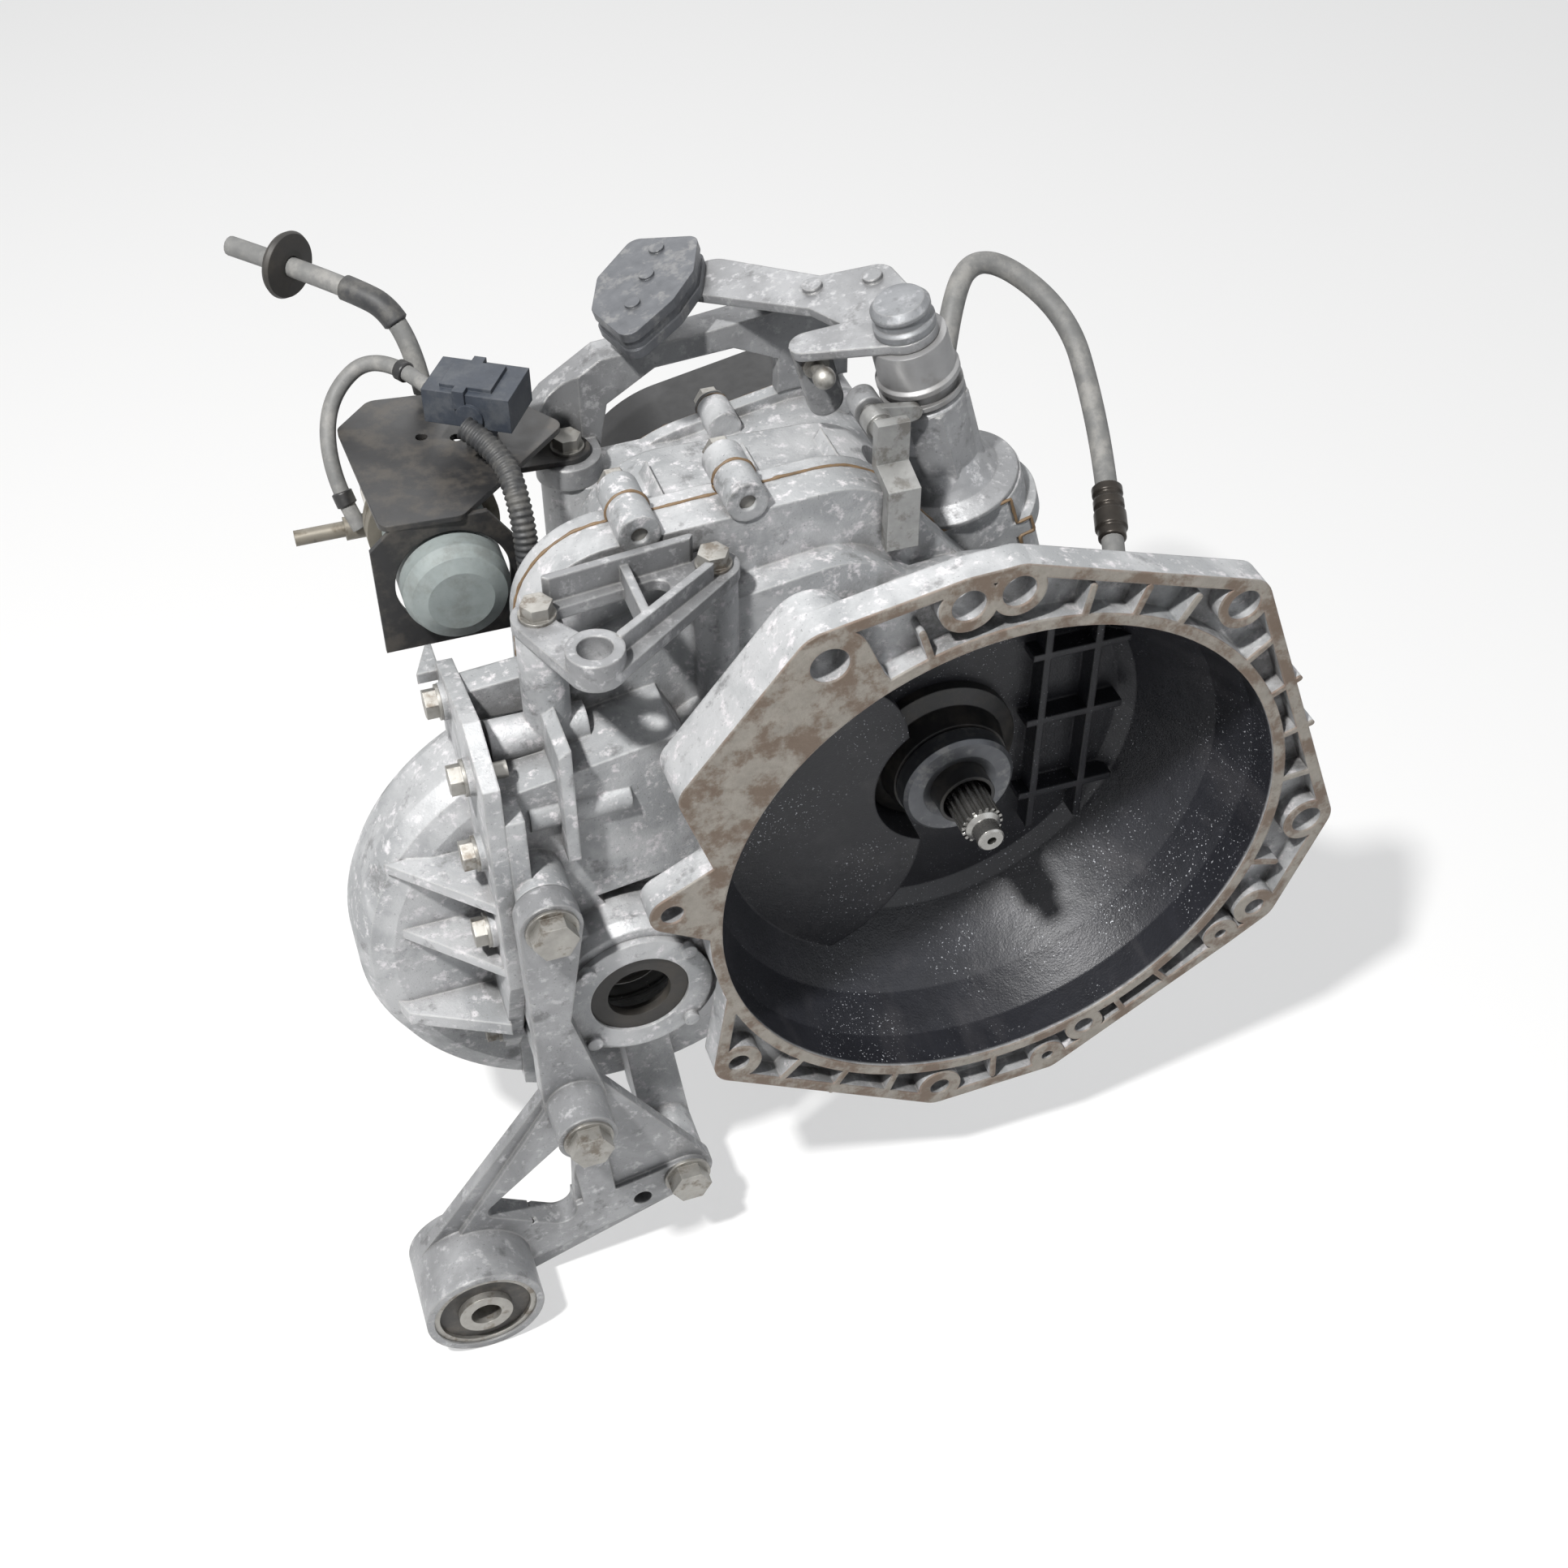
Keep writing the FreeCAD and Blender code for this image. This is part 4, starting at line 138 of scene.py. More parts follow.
def floor_paper():
    """Pale paper that keeps the object's shadow and stays pale far from the lamps."""
    skin = Skin("floor_paper")
    paper = skin.node("ShaderNodeBsdfDiffuse")
    paper.inputs["Color"].default_value = rgb(236, 236, 236)
    white = skin.node("ShaderNodeEmission")
    white.inputs["Strength"].default_value = FLOOR_WHITE
    path = skin.node("ShaderNodeLightPath")
    seen = skin.math("MAXIMUM", path.outputs["Is Camera Ray"], path.outputs["Is Glossy Ray"])
    seen = skin.math("MAXIMUM", seen, path.outputs["Is Transmission Ray"])
    mixed = skin.node("ShaderNodeMixShader")
    skin.put(skin.math("MULTIPLY", seen, FLOOR_SHARE), mixed.inputs[0])
    skin.put(paper.outputs[0], mixed.inputs[1])
    skin.put(white.outputs[0], mixed.inputs[2])
    skin.put(mixed.outputs[0], skin.node("ShaderNodeOutputMaterial").inputs["Surface"])
    return skin.material


def make_stage():
    make_world()
    area_light("key", (-0.95, -0.55, 1.75), (-0.05, 0.10, 0.0), 0.14, 72, (1.0, 0.99, 0.97))
    area_light("fill", (1.3, -1.2, 1.0), (0, 0.1, 0), 1.6, 5, (0.90, 0.95, 1.0))
    area_light("back", (0.2, 1.6, 1.3), (0, 0.1, 0), 1.4, 7)
    mesh = bpy.data.meshes.new("floor")
    low, reach = CAD_BOX[0].z - FLOOR_GAP, FLOOR_REACH
    corners = [(-reach, -reach, low), (reach, -reach, low), (reach, reach, low), (-reach, reach, low)]
    mesh.from_pydata(corners, [], [(0, 1, 2, 3)])
    floor = bpy.data.objects.new("floor", mesh)
    bpy.context.scene.collection.objects.link(floor)
    mesh.materials.append(floor_paper())


# ---------------------------------------------------------------- shader building
class Skin:
    """A material under construction: noises and masks in the object's own coordinates, in metres."""

    def __init__(self, name):
        self.material = bpy.data.materials.new(name)
        self.material.use_nodes = True
        self.tree = self.material.node_tree
        self.tree.nodes.clear()
        self.at = self.node("ShaderNodeTexCoord").outputs["Object"]
        self.parts = None
        self.rounded = None

    def node(self, kind, **settings):
        made = self.tree.nodes.new(kind)
        for key, value in settings.items():
            setattr(made, key, value)
        return made

    def put(self, value, socket):
        """Links an output, or sets a constant."""
        if isinstance(value, bpy.types.NodeSocket):
            self.tree.links.new(value, socket)
        else:
            socket.default_value = value

    def math(self, operation, first, second=0.0):
        made = self.node("ShaderNodeMath", operation=operation)
        self.put(first, made.inputs[0])
        self.put(second, made.inputs[1])
        return made.outputs[0]

    def noise(self, scale, detail=4, rough=0.55, stretch=None, warp=0.0):
        made = self.node("ShaderNodeTexNoise")
        made.inputs["Scale"].default_value = scale
        made.inputs["Detail"].default_value = detail
        made.inputs["Roughness"].default_value = rough
        made.inputs["Distortion"].default_value = warp
        self.put(self.stretched(stretch), made.inputs["Vector"])
        return made.outputs[0]

    def stretched(self, stretch):
        if stretch is None:
            return self.at
        made = self.node("ShaderNodeMapping")
        made.inputs["Scale"].default_value = stretch
        self.put(self.at, made.inputs["Vector"])
        return made.outputs[0]

    def band(self, value, low, high):
        """0 below low and 1 above high, or falling where low is the larger."""
        made = self.node("ShaderNodeMapRange", interpolation_type="SMOOTHSTEP")
        self.put(value, made.inputs["Value"])
        if low > high:
            made.inputs["From Min"].default_value = high
            made.inputs["From Max"].default_value = low
            made.inputs["To Min"].default_value = 1
            made.inputs["To Max"].default_value = 0
        else:
            made.inputs["From Min"].default_value = low
            made.inputs["From Max"].default_value = high
        return made.outputs["Result"]

    def blend(self, factor, first, second, kind="MIX"):
        made = self.node("ShaderNodeMix", data_type="RGBA", blend_type=kind)
        self.put(factor, made.inputs["Factor"])
        self.put(first, made.inputs[6])
        self.put(second, made.inputs[7])
        return made.outputs[2]

    def fade(self, factor, first, second):
        made = self.node("ShaderNodeMix", data_type="FLOAT")
        self.put(factor, made.inputs["Factor"])
        self.put(first, made.inputs[2])
        self.put(second, made.inputs[3])
        return made.outputs[0]

    def axis(self, index):
        if self.parts is None:
            self.parts = self.node("ShaderNodeSeparateXYZ")
            self.put(self.at, self.parts.inputs[0])
        return self.parts.outputs[index]

    def radius(self, x, z):
        """Distance from a line along Y."""
        across = self.math("SUBTRACT", self.axis(0), x)
        up = self.math("SUBTRACT", self.axis(2), z)
        return self.math("SQRT", self.math("ADD", self.math("MULTIPLY", across, across),
                                           self.math("MULTIPLY", up, up)))

    def hollow_shade_mask(self, distance, low=0.35, high=0.85):
        """1 in corners and pockets, 0 on open faces: the mask for painted shade."""
        made = self.node("ShaderNodeAmbientOcclusion", samples=3)
        made.inputs["Distance"].default_value = distance
        return self.band(made.outputs["AO"], high, low)

    def soft_edges(self, radius):
        """A normal that rounds every edge; a material has one, at the radius asked for first."""
        if self.rounded is None:
            made = self.node("ShaderNodeBevel", samples=3)
            made.inputs["Radius"].default_value = radius
            self.rounded = made.outputs[0]
        return self.rounded

    def edge(self, radius, low=0.02, high=0.30):
        """1 on outer and inner edges."""
        round_normal = self.soft_edges(radius)
        flat = self.node("ShaderNodeNewGeometry").outputs["Normal"]
        made = self.node("ShaderNodeVectorMath", operation="DOT_PRODUCT")
        self.put(round_normal, made.inputs[0])
        self.put(flat, made.inputs[1])
        return self.band(self.math("SUBTRACT", 1.0, made.outputs["Value"]), low, high)

    def bump(self, height, strength, depth, under=None):
        made = self.node("ShaderNodeBump")
        made.inputs["Strength"].default_value = strength
        made.inputs["Distance"].default_value = depth
        self.put(height, made.inputs["Height"])
        if under is not None:
            self.put(under, made.inputs["Normal"])
        return made.outputs[0]

    def finish(self, colour, rough=0.6, metal=0.0, normal=None, specular=0.5, coat=0.0):
        shader = self.node("ShaderNodeBsdfPrincipled")
        self.put(colour, shader.inputs["Base Color"])
        self.put(rough, shader.inputs["Roughness"])
        self.put(metal, shader.inputs["Metallic"])
        shader.inputs["Specular IOR Level"].default_value = specular
        shader.inputs["Coat Weight"].default_value = coat
        shader.inputs["Coat Roughness"].default_value = 0.25
        if normal is not None:
            self.put(normal, shader.inputs["Normal"])
        out = self.node("ShaderNodeOutputMaterial")
        self.put(shader.outputs[0], out.inputs["Surface"])
        return self.material


def cast_colour(skin, dark, middle, pale, chalk):
    """Weathered aluminium: broad clouds, chalky oxide patches and fine specks."""
    clouds = skin.noise(26, 5, 0.6, warp=0.4)
    mottle = skin.noise(150, 4, 0.7)
    colour = skin.blend(skin.band(clouds, 0.38, 0.64), middle, pale)
    colour = skin.blend(skin.band(mottle, 0.52, 0.70), colour, chalk)
    stains = skin.band(skin.noise(55, 5, 0.7), 0.56, 0.70)
    colour = skin.blend(skin.math("MULTIPLY", stains, 0.55), colour, dark)
    specks = skin.band(skin.noise(900, 2, 0.5), 0.66, 0.74)
    return skin.blend(skin.math("MULTIPLY", specks, 0.5), colour, dark)


def cast_bump(skin, strength, edge=1.0 * MM):
    rough = skin.noise(850, 3, 0.6)
    lumps = skin.noise(110, 3, 0.5)
    below = skin.bump(lumps, strength * 0.5, 1.2 * MM, skin.soft_edges(edge))
    return skin.bump(rough, strength, 0.35 * MM, below)


def sand_cast():
    skin = Skin("weathered_sand_cast")
    colour = cast_colour(skin, rgb(84, 84, 84), rgb(146, 148, 150), rgb(174, 175, 177), rgb(202, 200, 203))
    # painted shade, partly soiling: corners and hollows are darkened towards dark brown where an occlusion
    # mask meets noise patches
    shade_and_grime = skin.hollow_shade_mask(16 * MM, 0.25, 0.75)
    shade_and_grime = skin.math("MULTIPLY", shade_and_grime, skin.band(skin.noise(70, 4, 0.6), 0.3, 0.6))
    colour = skin.blend(skin.math("MULTIPLY", shade_and_grime, 0.75), colour, rgb(58, 52, 46))
    colour = skin.blend(skin.math("MULTIPLY", skin.edge(1.4 * MM), 0.45), colour, rgb(206, 204, 202))
    rough = skin.fade(skin.noise(60, 3, 0.5), 0.42, 0.72)
    return skin.finish(colour, rough, 0.35, cast_bump(skin, 0.55))


def bell_cast():
    """The clutch housing: painted shade inside the bell, blue-black, and worn and rust-stained on the
    flange's face.
    """
    skin = Skin("clutch_housing_cast")
    outside = cast_colour(skin, rgb(84, 84, 84), rgb(148, 150, 152), rgb(176, 177, 179), rgb(204, 201, 204))
    # painted shade, partly soiling: corners and hollows are darkened towards dark brown where an occlusion
    # mask meets noise patches
    shade_and_grime = skin.hollow_shade_mask(18 * MM, 0.25, 0.75)
    shade_and_grime = skin.math("MULTIPLY", shade_and_grime, skin.band(skin.noise(70, 4, 0.6), 0.3, 0.6))
    outside = skin.blend(skin.math("MULTIPLY", shade_and_grime, 0.7), outside, rgb(56, 50, 45))
    reach = skin.radius(0, 0)
    depth = skin.axis(1)
    # halfway through the bell's wall: straight for 24 mm, then two tapers to its floor
    wall = skin.math("MINIMUM", 0.1480, skin.math("SUBTRACT", 0.1573, skin.math("MULTIPLY", depth, 0.386)))
    wall = skin.math("MINIMUM", wall, skin.math("SUBTRACT", 0.1630, skin.math("MULTIPLY", depth, 0.511)))
    within = skin.math("MULTIPLY", skin.band(skin.math("SUBTRACT", wall, reach), -0.0004, 0.0004),
                       skin.band(depth, 0.0004, 0.0030))
    within = skin.math("MULTIPLY", within, skin.band(depth, 0.0965, 0.0955))
    # painted shade: the inside of the bell is coloured blue-black, with lighter streaks along its depth and
    # pale grey-blue specks in patches
    inner_bell_shade = skin.blend(skin.noise(34, 5, 0.65, warp=0.8), rgb(20, 21, 25), rgb(44, 45, 51))
    streaks = skin.band(skin.noise(38, 4, 0.6, (1, 0.25, 1)), 0.52, 0.72)
    inner_bell_shade = skin.blend(skin.math("MULTIPLY", streaks, 0.4), inner_bell_shade, rgb(66, 65, 68))
    dust = skin.band(skin.noise(900, 1, 0.5), 0.68, 0.73)
    dusty = skin.math("MULTIPLY", dust, skin.band(skin.noise(24, 3, 0.6), 0.40, 0.66))
    inner_bell_shade = skin.blend(dusty, inner_bell_shade, rgb(176, 178, 184))
    colour = skin.blend(within, outside, inner_bell_shade)
    face = skin.math("MULTIPLY", skin.band(depth, 0.0012, 0.0004), skin.band(reach, 0.1435, 0.1445))
    bare = skin.blend(skin.noise(120, 5, 0.7), rgb(104, 99, 92), rgb(160, 155, 147))
    stained = skin.band(skin.noise(42, 5, 0.7), 0.44, 0.58)
    bare = skin.blend(skin.math("MULTIPLY", stained, 0.7), bare, rgb(86, 64, 46))
    colour = skin.blend(face, colour, bare)
    edges = skin.edge(1.6 * MM)
    rust = skin.math("MULTIPLY", edges, skin.band(depth, 0.0035, 0.0010))
    rust = skin.math("MULTIPLY", rust, skin.band(skin.noise(48, 3, 0.6), 0.42, 0.56))
    colour = skin.blend(skin.math("MULTIPLY", rust, 0.85), colour, rgb(122, 78, 46))
    worn = skin.math("MULTIPLY", edges, skin.math("SUBTRACT", 1.0, within))
    colour = skin.blend(skin.math("MULTIPLY", worn, 0.30), colour, rgb(204, 202, 199))
    rough = skin.fade(within, skin.fade(skin.noise(60, 3, 0.5), 0.42, 0.72), 0.42)
    metal = skin.fade(within, 0.35, 0.15)
    return skin.finish(colour, rough, metal, cast_bump(skin, 0.55))


def smooth_cast(name="smooth_die_cast", middle=rgb(128, 129, 131), pale=rgb(150, 151, 153),
                chalk=rgb(172, 172, 174)):
    skin = Skin(name)
    colour = cast_colour(skin, rgb(78, 78, 79), middle, pale, chalk)
    # painted shade: corners and hollows are darkened towards dark grey-brown by an occlusion mask
    shade_and_grime = skin.math("MULTIPLY", skin.hollow_shade_mask(14 * MM, 0.3, 0.8), 0.65)
    colour = skin.blend(shade_and_grime, colour, rgb(48, 46, 44))
    colour = skin.blend(skin.math("MULTIPLY", skin.edge(1.6 * MM), 0.5), colour, rgb(196, 195, 193))
    rough = skin.fade(skin.noise(80, 3, 0.5), 0.34, 0.55)
    return skin.finish(colour, rough, 0.40, cast_bump(skin, 0.30, 1.6 * MM))


def machined():
    skin = Skin("machined_aluminium")
    lines = skin.noise(420, 2, 0.5, (0.12, 0.12, 3.0))
    colour = skin.blend(skin.noise(60, 4, 0.6), rgb(128, 128, 129), rgb(160, 160, 161))
    # painted shade: corners and hollows are darkened towards dark brown by an occlusion mask
    colour = skin.blend(skin.math("MULTIPLY", skin.hollow_shade_mask(8 * MM, 0.3, 0.8), 0.6), colour, rgb(60, 57, 53))
    colour = skin.blend(skin.math("MULTIPLY", skin.band(skin.noise(45, 4, 0.6), 0.55, 0.72), 0.5), colour,
                        rgb(112, 108, 103))
    return skin.finish(colour, skin.fade(lines, 0.36, 0.52), 0.45,
                       skin.bump(lines, 0.12, 0.2 * MM, skin.soft_edges(0.8 * MM)))


def steel(name, low, high, corner_shade_colour, rough=(0.28, 0.45), metal=0.9, shade_and_grime=0.5, stain=None):
    """Turned or pressed steel with painted shade in its corners."""
    skin = Skin(name)
    colour = skin.blend(skin.noise(140, 4, 0.6), low, high)
    if stain is not None:
        spots = skin.band(skin.noise(90, 4, 0.7), 0.50, 0.66)
        colour = skin.blend(skin.math("MULTIPLY", spots, 0.7), colour, stain)
    # painted shade: corners and hollows are darkened towards the corner shade colour by an occlusion mask
    colour = skin.blend(skin.math("MULTIPLY", skin.hollow_shade_mask(5 * MM, 0.3, 0.85), shade_and_grime), colour, corner_shade_colour)
    colour = skin.blend(skin.math("MULTIPLY", skin.edge(0.6 * MM), 0.35), colour, high)
    normal = skin.bump(skin.noise(600, 3, 0.6), 0.12, 0.15 * MM, skin.soft_edges(0.5 * MM))
    return skin.finish(colour, skin.fade(skin.noise(200, 3, 0.5), *rough), metal, normal)


def plastic(name, low, high, dust, amount=0.4, rough=(0.45, 0.7), edge=0.6 * MM, fine=900):
    """A moulded or rubber surface with dust in patches and in its texture."""
    skin = Skin(name)
    colour = skin.blend(skin.noise(160, 4, 0.6), low, high)
    settled = skin.math("MULTIPLY", skin.band(skin.noise(60, 5, 0.7), 0.42, 0.68), amount)
    colour = skin.blend(settled, colour, dust)
    specks = skin.math("MULTIPLY", skin.band(skin.noise(1200, 2, 0.6), 0.68, 0.76), amount)
    colour = skin.blend(specks, colour, dust)
    normal = skin.bump(skin.noise(fine, 3, 0.6), 0.15, 0.15 * MM, skin.soft_edges(edge))
    return skin.finish(colour, skin.fade(skin.noise(120, 3, 0.5), *rough), 0.0, normal)


MATERIALS = {
    "sand_cast": sand_cast(),
    "bell_cast": bell_cast(),
    "smooth_cast": smooth_cast(),
    "dark_cast": smooth_cast("dark_die_cast", rgb(100, 102, 105), rgb(126, 128, 131), rgb(150, 151, 154)),
    "machined_aluminium": machined(),
    "plate_steel": steel("stacked_plates", rgb(78, 80, 84), rgb(112, 114, 118), rgb(38, 37, 37),
                         (0.35, 0.55), 0.6, stain=rgb(132, 132, 132)),
    "zinc_steel": steel("dull_zinc", rgb(128, 126, 122), rgb(178, 176, 171), rgb(52, 48, 43),
                        (0.34, 0.55), 0.8, stain=rgb(96, 84, 70)),
    "dark_steel": steel("oily_steel", rgb(34, 32, 30), rgb(66, 61, 56), rgb(20, 18, 16), (0.25, 0.45), 0.7),
    "gear_steel": steel("ground_steel", rgb(132, 131, 129), rgb(170, 169, 166), rgb(46, 42, 38),
                        (0.20, 0.34)),
    "bearing_steel": steel("bearing_steel", rgb(150, 149, 146), rgb(190, 189, 186),
                           rgb(50, 46, 42), (0.18, 0.32)),
    "iron": steel("oiled_iron", rgb(78, 76, 73), rgb(104, 101, 97), rgb(34, 31, 28), (0.38, 0.55), 0.6),
    "lever_steel": steel("plated_steel", rgb(140, 140, 139), rgb(186, 186, 184), rgb(60, 57, 53),
                         (0.28, 0.48), 0.8, stain=rgb(118, 114, 108)),
    "cap_plastic": steel("worn_cap", rgb(146, 145, 143), rgb(186, 184, 180), rgb(70, 66, 61),
                         (0.36, 0.55), 0.45, stain=rgb(112, 108, 103)),
    "pump_metal": steel("pump_metal", rgb(108, 104, 96), rgb(138, 133, 122), rgb(42, 38, 33),
                        (0.40, 0.60), 0.5, stain=rgb(84, 76, 64)),
    "black_sheet": steel("black_sheet", rgb(26, 26, 27), rgb(44, 44, 45), rgb(18, 17, 16),
                         (0.30, 0.50), 0.2),
    "black_paint": plastic("dirty_black_paint", rgb(26, 26, 27), rgb(40, 40, 41), rgb(92, 86, 78), 0.35,
                           (0.30, 0.55), 0.9 * MM),
    "gasket": plastic("brown_sealant", rgb(84, 66, 46), rgb(122, 100, 74), rgb(60, 48, 36), 0.4),
    "seal_rubber": plastic("seal_rubber", rgb(28, 27, 26), rgb(44, 42, 40), rgb(78, 72, 64), 0.25),
    "black_plastic": plastic("black_plastic", rgb(24, 24, 25), rgb(38, 38, 39), rgb(80, 76, 70),
                             0.25, (0.30, 0.5)),
    "bush_rubber": plastic("bush_rubber", rgb(40, 39, 38), rgb(58, 56, 54), rgb(104, 98, 90), 0.45),
    "canister_paint": plastic("grey_green_canister", rgb(112, 120, 120), rgb(134, 141, 140),
                              rgb(84, 84, 80), 0.45),
    "slate_plastic": plastic("slate_plastic", rgb(34, 39, 47), rgb(50, 56, 66), rgb(96, 98, 100), 0.35),
    "loom_plastic": plastic("loom_plastic", rgb(30, 31, 33), rgb(46, 47, 49), rgb(104, 102, 98), 0.45),
    "label_paper": plastic("label_paper", rgb(196, 194, 188), rgb(214, 212, 206), rgb(120, 112, 102), 0.5),
    "hose_rubber": plastic("dusty_hose", rgb(84, 85, 85), rgb(116, 116, 115), rgb(150, 148, 144), 0.5,
                           (0.5, 0.75)),
}


def slot_of(node):
    for row in frame["record"]["subparts"]:
        if row["node"] == node:
            return row["material_slot"]
    return None


SPECIAL = {"clutch_housing": "bell_cast", "bearing_adjuster": "sand_cast", "output_seal_front": "seal_rubber",
           "selector_tower": "smooth_cast", "tower_cap": "dark_cast", "counterweight_plates": "plate_steel",
           "shift_lever": "smooth_cast", "release_bearing": "plate_steel", "slave_cylinder": "black_paint",
           "mount_bracket": "smooth_cast"}
for name, item in frame["nodes"].items():
    finish_name = SPECIAL.get(name) or slot_of(name) or "sand_cast"
    for place in item.material_slots:
        place.material = MATERIALS[finish_name]


# ---------------------------------------------------------------- hoses, the loom and small pieces
def curve_object(name, points, radius, order=3):
    data = bpy.data.curves.new(name, "CURVE")
    data.dimensions = "3D"
    data.resolution_u = 24
    data.bevel_depth = radius
    data.bevel_resolution = 5
    data.use_fill_caps = True
    spline = data.splines.new("NURBS")
    spline.points.add(len(points) - 1)
    for point, at in zip(spline.points, points):
        point.co = (at[0] * MM, at[1] * MM, at[2] * MM, 1)
    spline.order_u = order
    spline.use_endpoint_u = True
    made = bpy.data.objects.new(name, data)
    bpy.context.scene.collection.objects.link(made)
    return made


def curve_line(made):
    """The points that a curve's own line runs through, in metres."""
    bare = made.data.copy()
    bare.bevel_depth = 0
    ghost = bpy.data.objects.new("line", bare)
    bpy.context.scene.collection.objects.link(ghost)
    mesh = bpy.data.meshes.new_from_object(ghost)
    points = [vertex.co.copy() for vertex in mesh.vertices]
    bpy.data.objects.remove(ghost)
    bpy.data.curves.remove(bare)
    return points


def line_length(points):
    return sum((b - a).length for a, b in zip(points, points[1:]))


HOSES = {
    "breather_hose": (4, [(-215, 235, 174), (-232, 272, 178), (-262, 264, 160), (-268, 240, 128),
                          (-259, 228, 106)], "object"),
    "vacuum_pipe": (5, [(-214, 262, 155), (-216, 272, 192), (-243, 298, 202), (-288, 352, 202)], "bare"),
    "hydraulic_hose": (6, [(44, 214, 80), (60, 246, 150), (90, 280, 172), (130, 244, 146), (132, 204, 108),
                           (118, 150, 84), (101, 103, 70.5)], "object"),
}
LOOM = [(-205, 201, 170), (-192, 186, 164), (-190, 158, 152), (-191, 147, 116), (-186, 158, 72)]
LOOM_RADIUS = 6


def make_hoses():
    for node, (radius, route, end) in HOSES.items():
        hose = curve_object("dressed_" + node, route, radius * MM)
        hose.data.materials.append(MATERIALS["hose_rubber"])
        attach(hose, "case")
        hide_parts(node)
        line_length(curve_line(hose))


def frames_along(points):
    """Directions across a line at each of its points, carried along it without twist."""
    side = Vector((0, 0, 1)).cross(points[1] - points[0]).normalized()
    found = []
    for index, point in enumerate(points):
        ahead = points[min(index + 1, len(points) - 1)] - points[max(index - 1, 0)]
        ahead.normalize()
        side = (side - ahead * side.dot(ahead)).normalized()
        found.append((side, ahead.cross(side)))
    return found


def evenly(points, step):
    """The same line with points a fixed step apart."""
    total = line_length(points)
    count = max(2, round(total / step))
    spaced, travelled, index = [points[0]], 0.0, 0
    for number in range(1, count):
        wanted = total * number / count
        while travelled + (points[index + 1] - points[index]).length < wanted:
            travelled += (points[index + 1] - points[index]).length
            index += 1
        span = (points[index + 1] - points[index]).length
        spaced.append(points[index].lerp(points[index + 1], (wanted - travelled) / span))
    return spaced + [points[-1]]


def link(name, mesh, material, body="case", smooth=True):
    made = bpy.data.objects.new(name, mesh)
    bpy.context.scene.collection.objects.link(made)
    mesh.materials.append(MATERIALS[material])
    if smooth:
        mesh.shade_smooth()
    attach(made, body)
    return made


def tube_mesh(name, points, radii, around=20):
    """A closed tube along points, with a radius at each."""
    verts, faces = [], []
    for point, (side, up), radius in zip(points, frames_along(points), radii):
        for turn in range(around):
            angle = 2 * math.pi * turn / around
            verts.append(point + (side * math.cos(angle) + up * math.sin(angle)) * radius)
    for ring in range(len(points) - 1):
        for turn in range(around):
            here, there = ring * around + turn, ring * around + (turn + 1) % around
            faces.append((here, there, there + around, here + around))
    faces.append(tuple(range(around))[::-1])
    faces.append(tuple(len(verts) - around + turn for turn in range(around)))
    mesh = bpy.data.meshes.new(name)
    mesh.from_pydata(verts, [], faces)
    mesh.update()
    return mesh


def hose_line(points):
    guide = curve_object("guide", points, 0)
    line = curve_line(guide)
    bpy.data.objects.remove(guide)
    return line


def make_loom():
    """The corrugated sleeve of the pump's wires."""
    route = hose_line(LOOM)
    line = evenly(route, 0.6 * MM)
    crest, valley = LOOM_RADIUS * MM, (LOOM_RADIUS - 1.1) * MM
    radii = [valley + (crest - valley) * (0.5 + 0.5 * math.cos(2 * math.pi * index / 5)) ** 0.5
             for index in range(len(line))]
    loom = link("dressed_wiring_loom", tube_mesh("loom", line, radii, 24), "loom_plastic")
    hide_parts("wiring_loom")


def band_on(name, line, start, length, profile, material):
    """A turned fitting on a hose: (share of its length, radius in mm) points along the hose's line."""
    fine = evenly(line, 0.5 * MM)
    first = min(range(len(fine)), key=lambda index: abs(index * 0.5 - start))
    count = max(8, round(length / 0.5))
    points = fine[first:first + count]
    radii = []
    for index in range(len(points)):
        share = index / (len(points) - 1)
        radius = profile[-1][1]
        for (low, here), (high, there) in zip(profile, profile[1:]):
            if low <= share <= high:
                radius = here + (there - here) * (share - low) / max(high - low, 1e-6)
                break
        radii.append(radius * MM)
    return link(name, tube_mesh(name, points, radii, 28), material)


def make_fittings():
    """Crimped ends and clips on the hoses."""
    hydraulic = hose_line(HOSES["hydraulic_hose"][1])
    total = line_length(hydraulic) / MM
    ribs = [(0, 6.3), (0.02, 8.2), (0.16, 8.2), (0.18, 7.0), (0.24, 7.0), (0.26, 8.2), (0.40, 8.2),
            (0.42, 7.0), (0.48, 7.0), (0.50, 8.6), (0.80, 8.6), (0.82, 7.4), (0.98, 7.4), (1, 6.3)]
    band_on("hydraulic_crimp", hydraulic, total - 62, 34, ribs, "dark_steel")
    breather = hose_line(HOSES["breather_hose"][1])
    span = line_length(breather) / MM
    clip = [(0, 4.3), (0.05, 5.2), (0.95, 5.2), (1, 4.3)]
    band_on("breather_clip_upper", breather, 16, 6, clip, "black_plastic")
    band_on("breather_clip_lower", breather, span - 20, 8, clip, "black_plastic")
    vacuum = hose_line(HOSES["vacuum_pipe"][1])
    sleeve = [(0, 5.2), (0.03, 6.4), (0.97, 6.4), (1, 5.2)]
    band_on("vacuum_sleeve", vacuum, 36, 34, sleeve, "loom_plastic")


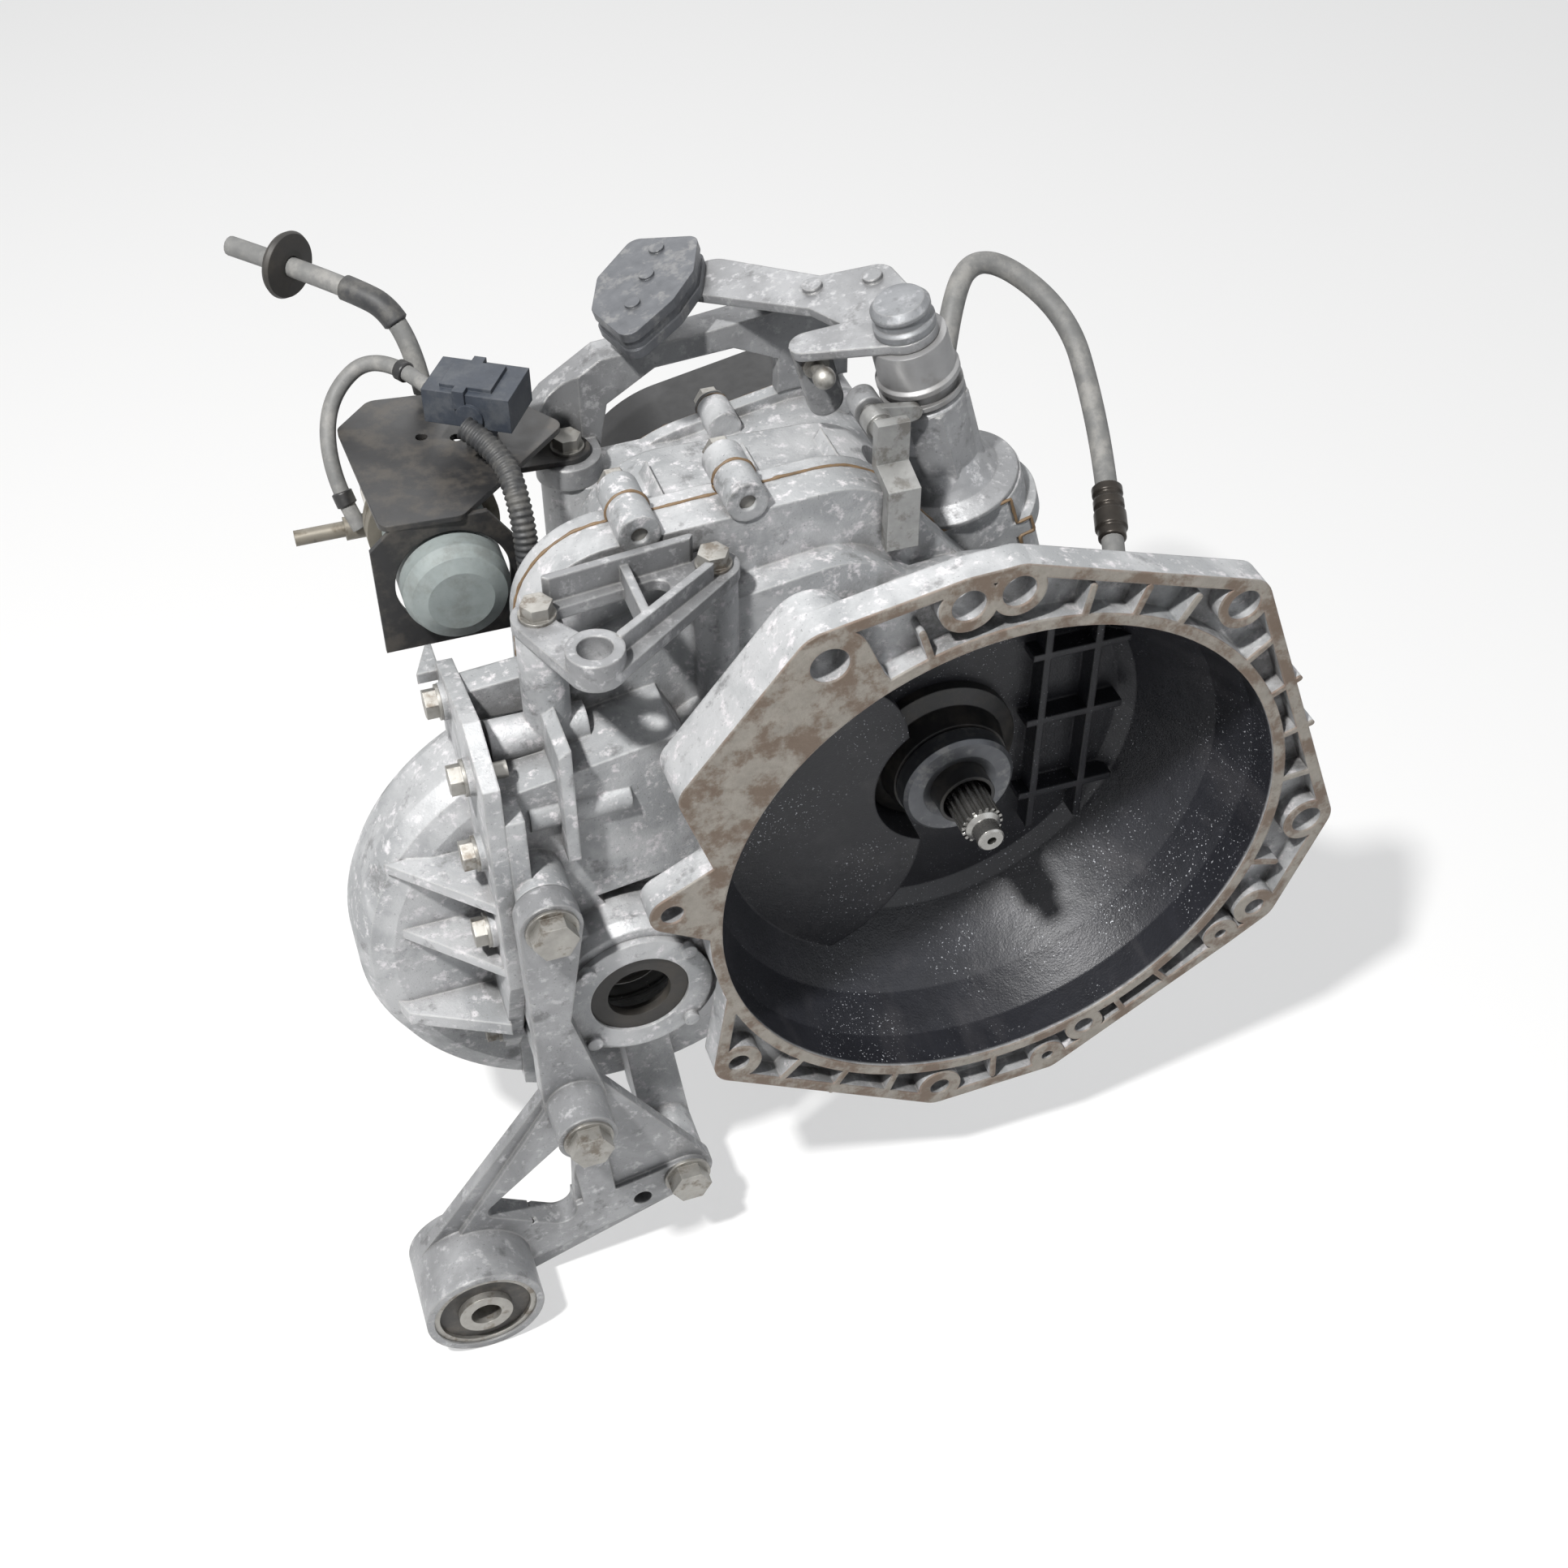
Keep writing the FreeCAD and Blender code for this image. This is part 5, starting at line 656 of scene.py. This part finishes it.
def section_loops(node, height):
    """The closed loops, as points, where a plane of constant Y cuts a CAD node."""
    cut = bmesh.new()
    cut.from_mesh(frame["nodes"][node].data)
    bmesh.ops.remove_doubles(cut, verts=cut.verts, dist=1e-6)
    made = bmesh.ops.bisect_plane(cut, geom=cut.verts[:] + cut.edges[:] + cut.faces[:], dist=1e-7,
                                  plane_co=(0, height, 0), plane_no=(0, 1, 0))["geom_cut"]
    edges = {item for item in made if isinstance(item, bmesh.types.BMEdge)}
    loops = []
    while edges:
        edge = edges.pop()
        start, at = edge.verts
        loop = [start.co.copy(), at.co.copy()]
        while True:
            ahead = [item for item in at.link_edges if item in edges]
            if not ahead:
                break
            edge = ahead[0]
            edges.discard(edge)
            at = edge.other_vert(at)
            loop.append(at.co.copy())
        loops.append(loop)
    cut.free()
    return loops


def bead(name, node, height, at, radius, material):
    """An uneven line of sealant round a joint: the longest loop of a node's section, moved to the joint."""
    loop = max(section_loops(node, height), key=line_length)
    line = evenly(loop, 1.6 * MM)
    points, radii = [], []
    for point in line:
        point = Vector((point.x, at, point.z))
        wander = noise.noise_vector(point * 160) * 0.35 * MM
        points.append(point + wander)
        radii.append(radius * MM * (0.75 + 0.5 * abs(noise.noise(point * 240))))
    return link(name, tube_mesh(name, points, radii, 8), material)


def make_beads():
    bead("case_sealant", "gear_case", 0.1195, 0.118, 1.0, "gasket")
    bead("cover_sealant", "end_cover_gasket", 0.2503, 0.2503, 0.9, "gasket")


# the label's axis lies along Y; angles are in degrees from +X towards +Z
LABEL_X, LABEL_Z, LABEL_RADIUS = -225, 112, 29.25
LABEL_START, LABEL_SPAN = 118, 62
LABEL_DEPTHS = (226, 246)


def make_pump_label():
    """A blank, dusty label wrapped round the pump's side."""
    verts, faces = [], []
    steps, radius = 14, LABEL_RADIUS
    for index in range(steps + 1):
        angle = math.radians(LABEL_START + LABEL_SPAN * index / steps)
        across = LABEL_X + radius * math.cos(angle)
        level = LABEL_Z + radius * math.sin(angle)
        for depth in LABEL_DEPTHS:
            verts.append(Vector((across, depth, level)) * MM)
    for index in range(steps):
        here = 2 * index
        faces.append((here, here + 1, here + 3, here + 2))
    mesh = bpy.data.meshes.new("pump_label")
    mesh.from_pydata(verts, [], faces)
    link("pump_label", mesh, "label_paper")


make_camera()
make_hoses()
make_loom()
make_fittings()
make_beads()
make_pump_label()
make_stage()

bpy.context.scene.view_settings.view_transform = "Standard"
